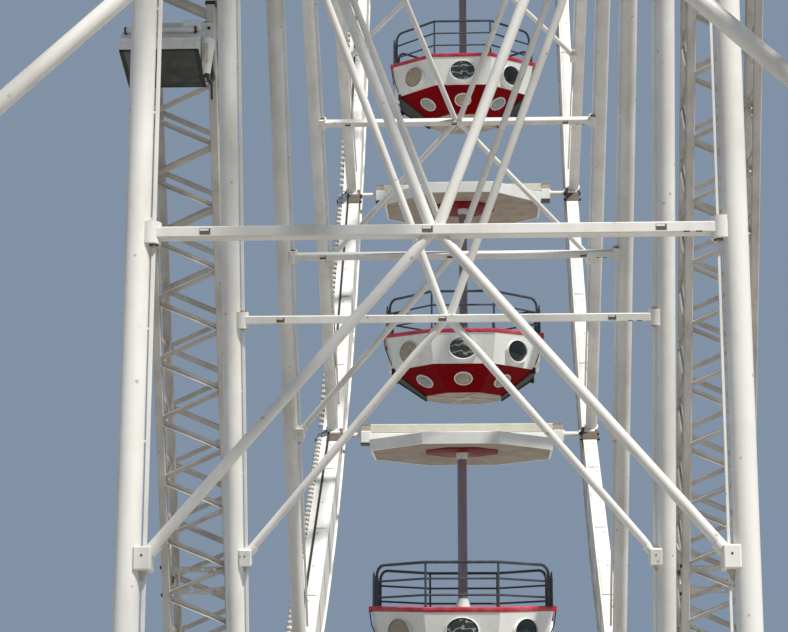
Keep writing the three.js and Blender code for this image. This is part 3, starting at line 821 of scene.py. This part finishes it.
def flange_plate(piece, side, spokes):
    """The part of a hub flange that carries one sector's spokes, with its bolts."""
    half = spokes * CABIN_STEP / 2
    gap = 0.0002
    corner = lambda angle, radius: Vector((radius * math.sin(angle), -radius * math.cos(angle)))
    angles = [-half + i * CABIN_STEP for i in range(spokes + 1)]
    outline = [corner(a, FLANGE_RADIUS) for a in angles]
    outline += [corner(a, DRUM_RADIUS + 0.001) for a in angles[::-1]]
    x = side * half_track(FLANGE_RADIUS)
    with part(piece, 0) as shape:
        face = shape.faces.new([shape.verts.new((x - 0.03, p.x * (1 - gap), p.y)) for p in outline])
        thicken(shape, [face], (0.06, 0, 0))
        soften(shape, 0.004)
    for i in range(spokes):
        middle = (i - (spokes - 1) / 2) * CABIN_STEP
        for radius in (0.72, 1.20, 1.40):
            for lean in (-0.05, 0.05):
                at = corner(middle + lean / radius * 1.6, radius)
                bolt(piece, (x - 0.036, at.x, at.y), (1, 0, 0), 0.018, 0.072, BLACK)


def make_spokes():
    """The wheel's sectors, each with the same spoke frames on its part of both flanges."""
    frame_piece = bmesh.new()
    spoke_frame(frame_piece)
    one_frame = into_mesh(frame_piece)
    for sector in range(SECTORS):
        piece = bmesh.new()
        for side in (-1, 1):
            flange_plate(piece, side, FRAMES_PER_SECTOR)
        for i in range(FRAMES_PER_SECTOR):
            add_turned(piece, one_frame, (i - (FRAMES_PER_SECTOR - 1) / 2) * CABIN_STEP)
        angle = REST_PHASE + (sector * FRAMES_PER_SECTOR + (FRAMES_PER_SECTOR - 1) / 2) * CABIN_STEP
        place = Matrix.Translation(HUB) @ Matrix.Rotation(angle, 4, "X")
        name = f"spoke_sector_{sector + 1}"
        finish(piece, name + "_frames", "wheel", WHEEL_PAINTS, [name], place)
        piece.free()
    bpy.data.meshes.remove(one_frame)


# Rims, one bay built at the wheel's lowest point

def rim_bay(steel, lamps, side):
    """One straight bay of a rim: its box and inner web, its lamps where it has any, and a joint."""
    lean = math.tan(CABIN_STEP / 2)
    mid_z = -PIVOT_RADIUS * math.cos(CABIN_STEP / 2)
    hub_z = mid_z + RIM_DEPTH / 2
    x = side * RIM_MIDDLE
    outer = side * (RIM_MIDDLE + RIM_WIDTH / 2)
    inner = side * (RIM_MIDDLE - RIM_WIDTH / 2)

    def mitred(piece, x_low, x_high, z_low, z_high, paint, gap, round_off=0.0):
        """A straight bar along the bay, its ends mitred just short of the next bays'."""
        with part(piece, paint) as shape:
            bmesh.ops.create_cube(shape, size=1.0)
            if round_off:
                bmesh.ops.scale(shape, vec=(x_high - x_low, 1, z_high - z_low), verts=shape.verts)
                long_edges = [e for e in shape.edges if abs(e.verts[0].co.y - e.verts[1].co.y) > 0.5]
                soften(shape, round_off, 2, long_edges)
                bmesh.ops.scale(
                    shape, vec=(1 / (x_high - x_low), 1, 1 / (z_high - z_low)), verts=shape.verts)
            for vert in shape.verts:
                z = z_low + (vert.co.z + 0.5) * (z_high - z_low)
                y = math.copysign(-z * lean - gap, vert.co.y)
                vert.co = Vector((x_low + (vert.co.x + 0.5) * (x_high - x_low), y, z))

    def web_depth(share):
        """How far the web reaches from the box's hub side: it bellies out between two joints."""
        return WEB_ENDS + (WEB_MIDDLE - WEB_ENDS) * 4 * share * (1 - share)

    def belly(x_low, x_high, tall=None):
        """A plate whose outer edge follows the web's belly, as tall as given or up to the hub side."""
        lower = []
        for i in range(9):
            share = i / 8
            z = hub_z - web_depth(share)
            lower.append(((2 * share - 1) * (-z * lean - 0.002), z))
        if tall is None:
            reach = -hub_z * lean - 0.002
            upper = [(reach, hub_z), (-reach, hub_z)]
        else:
            upper = [(y, z + tall) for y, z in lower[::-1]]
        with part(steel) as shape:
            face = shape.faces.new([shape.verts.new((x_low, y, z)) for y, z in lower + upper])
            thicken(shape, [face], (x_high - x_low, 0, 0))

    # The box lies with its middle on the line between pivots
    mitred(steel, x - RIM_WIDTH / 2, x + RIM_WIDTH / 2, mid_z - RIM_DEPTH / 2, hub_z, COAT, 0.0015, 0.008)
    belly(*sorted((inner, inner - side * 0.014)))
    belly(*sorted((inner - side * 0.001, inner - side * 0.032)), 0.012)
    half_bay = -mid_z * lean
    if lamps is not None:
        strip = sorted((outer + side * 0.004, outer + side * 0.063))
        mitred(steel, *strip, mid_z + 0.044, mid_z + 0.060, COAT, 0.012)
        cable = sorted((outer - side * 0.016, outer + side * 0.003))
        mitred(lamps, *cable, hub_z - 0.004, hub_z + 0.008, CABLE, 0.001)
        rim_lamps(lamps, side, outer, mid_z, half_bay)
    for i in range(7):
        y = (i - 3) * half_bay / 3.6
        bolt(steel, (x + side * 0.02, y, hub_z), (0, 0, 1), 0.006, 0.004, BLACK)
        if lamps is not None:
            clip = Vector((outer, y, mid_z + 0.040))
            bar(steel, clip - X * side * 0.01, clip + X * side * 0.03, 0.03, 0.006, Z)
        # Dark lines across the web and, at every other one, across the box: seams, darkened as painted shadow
        # lines
        depth = web_depth((y / half_bay + 1) / 2)
        seam_shadow = sorted((inner - side * 0.0135, inner - side * 0.0155))
        block(steel, (seam_shadow[0], y - 0.006, hub_z - depth + 0.014), (seam_shadow[1], y + 0.006, hub_z - 0.004), RUST_AND_SHADE)
        if i % 2:
            block(steel, (x - RIM_WIDTH / 2 + 0.004, y + 0.09, hub_z - 0.002),
                  (x + RIM_WIDTH / 2 - 0.018, y + 0.100, hub_z + 0.0015), RUST_AND_SHADE)
    rim_joint(steel, lamps, side, outer, inner)


def rim_lamps(lamps, side, outer, middle, half_bay):
    """Lamp caps along the outer edge of a bay's strip, with black sockets between."""
    to_side = Matrix.Rotation(side * math.pi / 2, 4, "Y")
    count = int(2 * half_bay / LAMP_PITCH) - 1
    for i in range(count):
        y = (i - (count - 1) / 2) * LAMP_PITCH
        at = Vector((outer + side * 0.060, y, middle + 0.052))
        turned(lamps, [(0, 0), (0.020, 0), (0.030, 0.022), (0.024, 0.048), (0, 0.062)], 8, CAP,
               Matrix.Translation(at) @ to_side)
        ends = sorted((at.x, at.x + side * 0.016))
        block(lamps, (ends[0], y + 0.037, at.z - 0.011), (ends[1], y + 0.049, at.z + 0.009), CABLE)


def rim_joint(steel, lamps, side, outer, inner):
    """The bracket over the joint of two bays, the bearing of a cabin's shaft, and a loop of cable."""
    turn = Matrix.Rotation(-CABIN_STEP / 2, 4, "X")
    z = -PIVOT_RADIUS
    ends = sorted((inner - side * 0.018, outer + side * 0.010))
    # The bracket clasps the second end of the bay
    reach = PIVOT_RADIUS * math.sin(CABIN_STEP / 2)
    middle = -PIVOT_RADIUS * math.cos(CABIN_STEP / 2)
    block(steel, (ends[0], reach - 0.260, middle - 0.079),
          (ends[1], reach + 0.016, middle + 0.077), RUST_AND_SHADE, 0.006)
    pin = Vector((0, reach - 0.085, middle + 0.074))
    rod(steel, pin + X * (ends[0] + 0.022), pin + X * (ends[1] - 0.022), 0.022, 12)
    for base, way in ((inner - side * 0.018, -side), (outer + side * 0.010, side)):
        for y in (reach - 0.068, reach - 0.190):
            bolt(steel, (base, y, middle + 0.042), (way, 0, 0), 0.017, 0.026, BLACK)
    at = turn @ Vector((inner - side * 0.018, 0, z))
    rod(steel, at, at - X * side * 0.012, 0.050, 16, STAIN_AND_SHADE)
    bolt(steel, turn @ Vector((outer + side * 0.008, 0, z)), (side, 0, 0), 0.034, 0.020, BLACK)
    if lamps is None:
        return
    loop = [turn @ Vector((outer + side * out, y, z + 0.062)) for out, y in (
        (-0.01, 0.06), (0.03, -0.02), (0.09, -0.10), (0.125, -0.16), (0.115, -0.21), (0.07, -0.23),
        (0.03, -0.22))]
    bent_rod(lamps, loop, 0.008, 6, CABLE)


def ring_of_bays(bay, name, paints, nodes=()):
    """Turns copies of one bay round the hub, and makes them one object."""
    one_bay = into_mesh(bay)
    piece = bmesh.new()
    for i in range(len(CABINS)):
        add_turned(piece, one_bay, (i + 0.5) * CABIN_STEP)
    bpy.data.meshes.remove(one_bay)
    place = Matrix.Translation(HUB) @ Matrix.Rotation(REST_PHASE, 4, "X")
    finish(piece, name, "wheel", paints, nodes, place)
    piece.free()


def make_rims():
    """Both rims. Only the left one carries lamps."""
    for side, across in ((-1, "left"), (1, "right")):
        steel_bay = bmesh.new()
        lamp_bay = bmesh.new() if across == "left" else None
        rim_bay(steel_bay, lamp_bay, side)
        name = f"rim_{across}"
        ring_of_bays(steel_bay, name + "_steel", WHEEL_PAINTS, [name])
        if lamp_bay is not None:
            ring_of_bays(lamp_bay, name + "_lamps", [LAMP_CAP, RUBBER])


# Hub, heads, legs and ground frame

def make_hub():
    """The drum with its end rings and ribs, on its shaft."""
    piece = bmesh.new()
    along_x = Matrix.Rotation(math.pi / 2, 4, "Y")
    end = LEG_INNER_X + LEG_WIDTH + 0.060
    turned(piece, [
        (0, -end), (SHAFT_RADIUS - 0.01, -end), (SHAFT_RADIUS, -end + 0.01),
        (SHAFT_RADIUS, -DRUM_HALF - 0.10), (SHAFT_RADIUS + 0.05, -DRUM_HALF - 0.10),
        (SHAFT_RADIUS + 0.05, -DRUM_HALF), (DRUM_RADIUS - 0.02, -DRUM_HALF), (DRUM_RADIUS, -DRUM_HALF + 0.02),
        (DRUM_RADIUS, DRUM_HALF - 0.02), (DRUM_RADIUS - 0.02, DRUM_HALF), (SHAFT_RADIUS + 0.05, DRUM_HALF),
        (SHAFT_RADIUS + 0.05, DRUM_HALF + 0.10), (SHAFT_RADIUS, DRUM_HALF + 0.10), (SHAFT_RADIUS, end - 0.01),
        (SHAFT_RADIUS - 0.01, end), (0, end)], 48, 0, along_x)
    for at in (-0.45, 0.45):
        turned(piece, [(DRUM_RADIUS - 0.01, at - 0.04), (DRUM_RADIUS + 0.035, at - 0.04),
                       (DRUM_RADIUS + 0.035, at + 0.04), (DRUM_RADIUS - 0.01, at + 0.04)], 48, 0, along_x)
    for side in (-1, 1):
        for i in range(len(CABINS)):
            angle = i * CABIN_STEP
            out = Vector((0, math.sin(angle), math.cos(angle)))
            bolt(piece, Vector((side * DRUM_HALF, 0, 0)) + out * 0.50, (side, 0, 0), 0.022, 0.020, BLACK)
        for i in range(8):
            out = Vector((0, math.sin(i * math.pi / 4), math.cos(i * math.pi / 4)))
            rib = X * side * (DRUM_HALF + 0.045)
            bar(piece, rib + out * 0.20, rib + out * 0.44, 0.02, 0.09, X, COAT, 0.003)
    finish(piece, "hub_drum", "wheel", [WHITE_STEEL, BLACK_STEEL], ["hub"],
           Matrix.Translation(HUB) @ Matrix.Rotation(REST_PHASE, 4, "X"))
    piece.free()


def leg_y(z):
    """How far a leg's inner side lies from the hub along Y, at a height."""
    return LEG_TOP_Y + LEG_SLOPE * (HUB.z - z)


def make_leg(side_x, side_y, name):
    """A lattice leg: chords, angle lacing on all four faces, plates at its joints, and its feet."""
    piece = bmesh.new()
    low, high = BEAM_HEIGHT + 0.002, HEAD_BOTTOM - 0.002
    xs = (LEG_INNER_X + CHORD / 2, LEG_INNER_X + LEG_WIDTH - CHORD / 2)
    depths = (CHORD / 2, LEG_DEPTH - CHORD / 2)
    corner = lambda x, depth, z: Vector((side_x * x, side_y * (leg_y(z) + depth), z))
    for x in xs:
        for depth in depths:
            bar(piece, corner(x, depth, low), corner(x, depth, high), CHORD, CHORD, X, 0, 0.006)
    # The same station of every chord lies in a plane square to the leg
    station = lambda x, depth, z: corner(
        x, depth, z + (depth - depths[0]) * LEG_SLOPE / (1 + LEG_SLOPE ** 2))
    # Each face: its two chord lines, and the way it faces
    up_way = (corner(xs[0], 0, 1) - corner(xs[0], 0, 0)).normalized()
    out = Vector((0, side_y * up_way.z, -side_y * up_way.y))
    faces = [((xs[0], depths[0]), (xs[1], depths[0]), -out),
             ((xs[0], depths[1]), (xs[1], depths[1]), out),
             ((xs[0], depths[0]), (xs[0], depths[1]), -X * side_x),
             ((xs[1], depths[0]), (xs[1], depths[1]), X * side_x)]
    angle_bar = [(-0.018, 0), (0.018, 0), (0.018, 0.004), (-0.014, 0.004), (-0.014, 0.032), (-0.018, 0.032)]
    steps = int((high - 0.28 - LACING_START) / LACING_RISE)
    for (x0, d0), (x1, d1), facing in faces:
        inset = 0.024 if d0 == d1 else 0.028
        for i in range(steps):
            z0 = LACING_START + i * LACING_RISE
            # Each bar's ends stop short of the next one's
            low_z, high_z = z0 + 0.008, z0 + LACING_RISE - 0.008
            if i % 2 == 0:
                start, end = station(x0, d0, low_z), station(x1, d1, high_z)
            else:
                start, end = station(x1, d1, low_z), station(x0, d0, high_z)
            way = (end - start).normalized()
            section(piece, angle_bar, start + way * inset, end - way * inset, facing)
    for z in (low + 0.03, high - 0.03):
        for (x0, d0), (x1, d1), facing in faces:
            bar(piece, corner(x0, d0, z), corner(x1, d1, z), 0.05, 0.05, facing, COAT, 0.004)
    for z in JOINT_LEVELS:
        for lift in (0.10, -0.10):
            for (x0, d0), (x1, d1), facing in faces[2:]:
                joint_plate(piece, station(x0, d0, z + lift), station(x1, d1, z + lift), facing)
    # Tie plates in pairs at the joints, on the face towards the hub
    (x0, d0), (x1, d1), facing = faces[0]
    for z in JOINT_LEVELS:
        upper, lower = z + TIE_LIFT, z + TIE_LIFT - TIE_GAP
        tie_plate(piece, corner(x0, d0, upper), corner(x1, d1, upper), facing, -1)
        tie_plate(piece, corner(x0, d0, lower), corner(x1, d1, lower), facing, 1)
    for x in xs:
        for depth in depths:
            foot = corner(x, depth, low)
            block(piece, foot - Vector((0.07, 0.07, 0)), foot + Vector((0.07, 0.07, 0.025)), 0, 0.004)
            bolt(piece, foot + Vector((0, -side_y * 0.052, 0.025)), (0, 0, 1), 0.014, 0.016, BLACK)
    finish(piece, name + "_lattice", "support", [LEG_PAINT_WITH_SHADE, BLACK_STEEL], [name])
    piece.free()


def tie_plate(piece, start, end, facing, way):
    """A plate between two chords of a leg, with four holes and an arched edge towards its neighbour."""
    along = (end - start).normalized()
    up = facing.cross(along).normalized()
    up = up if up.z > 0 else -up
    place = axes(along, up, along.cross(up), (start + end) / 2 + facing * (CHORD / 2 - 0.020))
    half = (end - start).length / 2
    tall = 0.021
    with part(piece, 0, place) as shape:
        arch = [(-half + 2 * half * i / 8, way * (tall + 0.026 * (2 * i / 8 - 1) ** 2)) for i in range(9)]
        outline = [(-half, -way * tall), *arch, (half, -way * tall)]
        verts = [shape.verts.new((x, y, 0)) for x, y in outline]
        edges = [shape.edges.new(pair) for pair in zip(verts, verts[1:] + verts[:1])]
        for i in range(4):
            hole_at = Matrix.Translation(((i - 1.5) * 0.088, 0, 0))
            ring = bmesh.ops.create_circle(shape, segments=10, radius=0.0135, matrix=hole_at)["verts"]
            edges += list({edge for vert in ring for edge in vert.link_edges})
        bmesh.ops.triangle_fill(shape, use_beauty=True, edges=edges)
        thicken(shape, shape.faces[:], (0, 0, 0.006))


def joint_plate(piece, start, end, facing):
    """A plate across one face of a leg at a joint of its lengths, with a bolt by each chord."""
    seat = facing * (CHORD / 2 - 0.004)
    bar(piece, start + seat, end + seat, 0.09, 0.012, facing, COAT, 0.003)
    for at in (start, end):
        bolt(piece, at + facing * (CHORD / 2), facing, 0.013, 0.014, BLACK)


def make_head(side_x, name):
    """A bearing head: two side plates, a web round their edge, stiffeners and the bearing housing."""
    piece = bmesh.new()
    foot = leg_y(HEAD_BOTTOM) + LEG_DEPTH + 0.020
    shoulder = HEAD_BOTTOM + 0.380
    outline = [(-foot, HEAD_BOTTOM), (foot, HEAD_BOTTOM), (foot, shoulder), (0.42, HEAD_TOP),
               (-0.42, HEAD_TOP), (-foot, shoulder)]
    x0, x1 = sorted((side_x * LEG_INNER_X, side_x * (LEG_INNER_X + LEG_WIDTH)))
    for low, high, shrink in ((x0, x0 + 0.03, 0.0), (x1 - 0.03, x1, 0.0), (x0 + 0.02, x1 - 0.02, 0.05)):
        with part(piece, 0) as shape:
            verts = []
            for y, z in outline:
                middle = Vector((0, (HEAD_BOTTOM + HEAD_TOP) / 2))
                inward = (middle - Vector((y, z))) * shrink
                if z == HEAD_BOTTOM:
                    inward.y = 0
                verts.append(shape.verts.new((low, y + inward.x, z + inward.y)))
            face = shape.faces.new(verts)
            thicken(shape, [face], (high - low, 0, 0))
            soften(shape, 0.005)
    along_x = Matrix.Translation(HUB) @ Matrix.Rotation(math.pi / 2, 4, "Y")
    for face_x, out in ((x0, -1), (x1, 1)):
        low, high = sorted((face_x, face_x + out * 0.028))
        turned(piece, [(SHAFT_RADIUS + 0.004, low - HUB.x), (0.30, low - HUB.x), (0.30, high - HUB.x),
                       (SHAFT_RADIUS + 0.004, high - HUB.x)], 40, 0, along_x)
        for i in range(12):
            out_way = Vector((0, math.sin(i * math.tau / 12), math.cos(i * math.tau / 12)))
            bolt(piece, HUB + X * (face_x + out * 0.028) + out_way * 0.25, (out, 0, 0), 0.018, 0.018, BLACK)
        for y in (-0.95, -0.5, 0.5, 0.95):
            ends = sorted((face_x, face_x + out * 0.02))
            block(piece, (ends[0], y - 0.012, HEAD_BOTTOM + 0.02), (ends[1], y + 0.012, shoulder - 0.02), 0)
        for side_y in (-1, 1):
            for y in (0.95, 1.05, 1.15, 1.25):
                bolt(piece, (face_x, side_y * y, HEAD_BOTTOM + 0.09), (out, 0, 0), 0.016, 0.014, BLACK)
    finish(piece, name + "_plates", "support", [WHITE_STEEL, BLACK_STEEL], [name])
    piece.free()


def make_ground_frame():
    """I beams along both sides and across, with stiffeners and bolts."""
    piece = bmesh.new()
    leg_x = LEG_INNER_X + LEG_WIDTH / 2
    foot_y = leg_y(0) + LEG_DEPTH / 2
    end_y = foot_y + 0.520
    wide = LEG_WIDTH / 2 + 0.030

    def i_beam(start, end, half, tall):
        """A beam with a web and two flanges."""
        web, flange = 0.014, 0.022
        outline = [(-half, 0), (half, 0), (half, flange), (web, flange), (web, tall - flange),
                   (half, tall - flange), (half, tall), (-half, tall), (-half, tall - flange),
                   (-web, tall - flange), (-web, flange), (-half, flange)]
        section(piece, outline, start, end, Z)

    for side in (-1, 1):
        x = side * leg_x
        i_beam((x, -end_y, 0), (x, end_y, 0), wide, BEAM_HEIGHT)
        count = 14
        for i in range(count + 1):
            y = -end_y + 0.02 + i * (2 * end_y - 0.04) / count
            block(piece, (x - wide + 0.01, y - 0.008, 0.02), (x + wide - 0.01, y + 0.008, BEAM_HEIGHT - 0.02))
    for y in (-foot_y, 0, foot_y):
        i_beam((-3.0, y, 0), (3.0, y, 0), 0.170, BEAM_HEIGHT - 0.040)
        for x in (-2.9, -1.2, -0.6, 0.6, 1.2, 2.9):
            block(piece, (x - 0.008, y - 0.16, 0.02), (x + 0.008, y + 0.16, BEAM_HEIGHT - 0.06), 0)
        for x in (-2.75, 2.75):
            for near in (-0.1, 0.1):
                bolt(piece, (x, y + near, BEAM_HEIGHT - 0.040), (0, 0, 1), 0.018, 0.016, BLACK)
    finish(piece, "ground_frame_beams", "support",
           [STAINED_AND_SHADED_STEEL, BLACK_STEEL], ["ground_frame"])
    piece.free()


def make_floodlight():
    """A floodlight under a plate across the left far leg, its glass towards the ground."""
    leg_x = -(LEG_INNER_X + LEG_WIDTH / 2)
    x = leg_x - 0.080
    up = Vector((0, -LEG_SLOPE, 1)).normalized()
    out = Vector((0, -up.z, up.y))
    at = Vector((leg_x, leg_y(LAMP_Z) + CHORD / 2, LAMP_Z)) + out * (CHORD / 2 + 0.011)
    body, glass = bmesh.new(), bmesh.new()
    reflector, stained = 2, 3
    half = 0.277
    # Housing, as corners of its side that start at the front of its glass
    front, back = Vector((0, 3.951, 9.529)), Vector((0, 4.381, 9.394))
    outline = [front, back, Vector((0, 4.261, 9.697)), Vector((0, 4.051, 9.697)), Vector((0, 3.951, 9.614))]
    with part(body, 0) as shape:
        face = shape.faces.new([shape.verts.new(corner + X * (x - half)) for corner in outline])
        thicken(shape, [face], (2 * half, 0, 0))
        soften(shape, 0.010, 2)
    block(body, (x - 0.284, 3.944, 9.596), (x + 0.284, 3.958, 9.618), 0, 0.005)
    for z in (9.628, 9.650, 9.672):
        # Cooling ribs lie up the sloping front
        rib_y = front.y + 0.1 * (z - 9.614) / 0.083
        block(body, (x - 0.22, rib_y - 0.010, z - 0.004), (x + 0.20, rib_y + 0.010, z + 0.004), 0, 0.002)
    # Black frame, dark reflector and glass, in the plane of its underside
    along = (back - front).normalized()
    under = axes(X, along, X.cross(along), front + X * x)
    length = (back - front).length
    for x0, x1, y0, y1 in ((-0.278, -0.246, 0, length), (0.246, 0.278, 0, length),
                           (-0.278, 0.278, 0, 0.014), (-0.278, 0.278, length - 0.020, length)):
        block(body, (x0, y0, -0.008), (x1, y1, 0.004), BLACK, 0.002, under)
    block(body, (-0.250, 0.010, -0.003), (0.250, length - 0.015, 0.003), reflector, 0, under)
    block(glass, (-0.247, 0.013, -0.007), (0.247, length - 0.019, -0.0035), 0, 0.001, under)
    # Tube and box over the lid, arm, gear housing and cable
    tube = Vector((x, 4.010, 9.690))
    rod(body, tube - X * 0.24, tube + X * 0.24, 0.020, 14)
    for end in (-1, 1):
        rod(body, tube + X * end * 0.24, tube + X * end * 0.252, 0.026, 12, BLACK)
    block(body, (x + 0.155, 4.010, 9.690), (x + 0.275, 4.130, 9.760), 0, 0.008)
    block(body, (leg_x - 0.060, 4.101, 9.654), (leg_x + 0.060, 4.280, 9.734), 0, 0.005)
    gear = Vector((x + 0.318, 4.100, 9.630))
    rod(body, gear, gear - Z * 0.235, 0.056, 16, 0, 0.026)
    rod(body, gear + Z * 0.02, gear, 0.040, 16, 0, 0.056)
    rod(body, gear - Z * 0.235, gear - Z * 0.260, 0.020, 10, BLACK)
    block(body, gear + Vector((-0.014, -0.060, -0.16)), gear + Vector((0.014, -0.035, -0.03)), stained, 0.003)
    block(body, gear + Vector((-0.050, -0.02, 0.0)), gear + Vector((-0.02, 0.02, 0.075)), 0, 0.004)
    rod(body, (x - 0.262, 3.98, 9.596), (x - 0.262, 3.98, 9.535), 0.030, 12, 0, 0.014)
    bent_rod(body, [
        gear - Z * 0.25, gear + Vector((0.02, 0.05, -0.29)), gear + Vector((0.03, 0.16, -0.22)),
        (leg_x + 0.235, 4.32, 9.60), (leg_x + 0.235, 4.40, 9.30)], 0.008, 6, BLACK)
    plate = axes(X, out, X.cross(out), at)
    block(body, (-LEG_WIDTH / 2, -0.010, -0.10), (LEG_WIDTH / 2, 0.010, 0.10), 0, 0.003, plate)
    for bolt_x in (-0.225, 0.225):
        for z in (-0.06, 0.06):
            bolt(body, plate @ Vector((bolt_x, 0.010, z)), out, 0.012, 0.012, BLACK)
    strap_y = leg_y(9.96) + CHORD / 2
    block(body, (leg_x + 0.200, strap_y - 0.040, 9.950),
          (leg_x + 0.276, strap_y + 0.040, 9.974), BLACK, 0.003)
    finish(body, "floodlight_housing", "support",
           [LAMP_WHITE, BLACK_STEEL, REFLECTOR, STAINED_AND_SHADED_STEEL], ["floodlight"])
    finish(glass, "floodlight_glass", "support", [FLOOD_GLASS])
    body.free()
    glass.free()


# Studio

def make_studio():
    """The pale surroundings, the floor, the sun and the camera."""
    scene = bpy.context.scene
    world = bpy.data.worlds.new("pale_sky")
    world.use_nodes = True
    scene.world = world
    world.node_tree.nodes["Background"].inputs["Color"].default_value = linear("#9fb3cb")
    world.node_tree.nodes["Background"].inputs["Strength"].default_value = 0.64
    scene.view_settings.view_transform = "Standard"

    piece = bmesh.new()
    bmesh.ops.create_grid(piece, x_segments=1, y_segments=1, size=150)
    bmesh.ops.translate(piece, vec=(0, 0, -0.002), verts=piece.verts)
    mesh = into_mesh(piece, "studio_floor")
    floor = bpy.data.objects.new("studio_floor", mesh)
    scene.collection.objects.link(floor)
    mesh.materials.append(weathered("pale_matt_floor", "#aca8a2", "#a5a19b", 2.0, 1.0, 0.02, 0.85, 0.5))

    sun = bpy.data.lights.new("sun", "SUN")
    sun.energy = 5.2
    sun.angle = math.radians(2)
    sun.color = (1.0, 0.97, 0.92)
    lamp = bpy.data.objects.new("sun", sun)
    lamp.rotation_euler = Vector(SUN_FROM).to_track_quat("Z", "Y").to_euler()
    scene.collection.objects.link(lamp)

    eye = bpy.data.cameras.new("eye")
    eye.sensor_fit = "HORIZONTAL"
    eye.sensor_width = 36.0
    eye.lens = EYE_LENS
    eye.clip_start = 0.1
    eye.clip_end = 500
    camera = bpy.data.objects.new("eye", eye)
    level = math.cos(EYE_RISE)
    look = Vector((-math.sin(EYE_TURN) * level, math.cos(EYE_TURN) * level, math.sin(EYE_RISE)))
    camera.location = EYE_AT
    camera.rotation_euler = look.to_track_quat("-Z", "Y").to_euler()
    scene.collection.objects.link(camera)
    scene.camera = camera


make_cabins()
make_spokes()
make_rims()
make_hub()
for across, side_x in (("left", -1), ("right", 1)):
    for nearness, side_y in (("near", -1), ("far", 1)):
        make_leg(side_x, side_y, f"leg_{across}_{nearness}")
    make_head(side_x, f"bearing_head_{across}")
make_ground_frame()
make_floodlight()
make_studio()
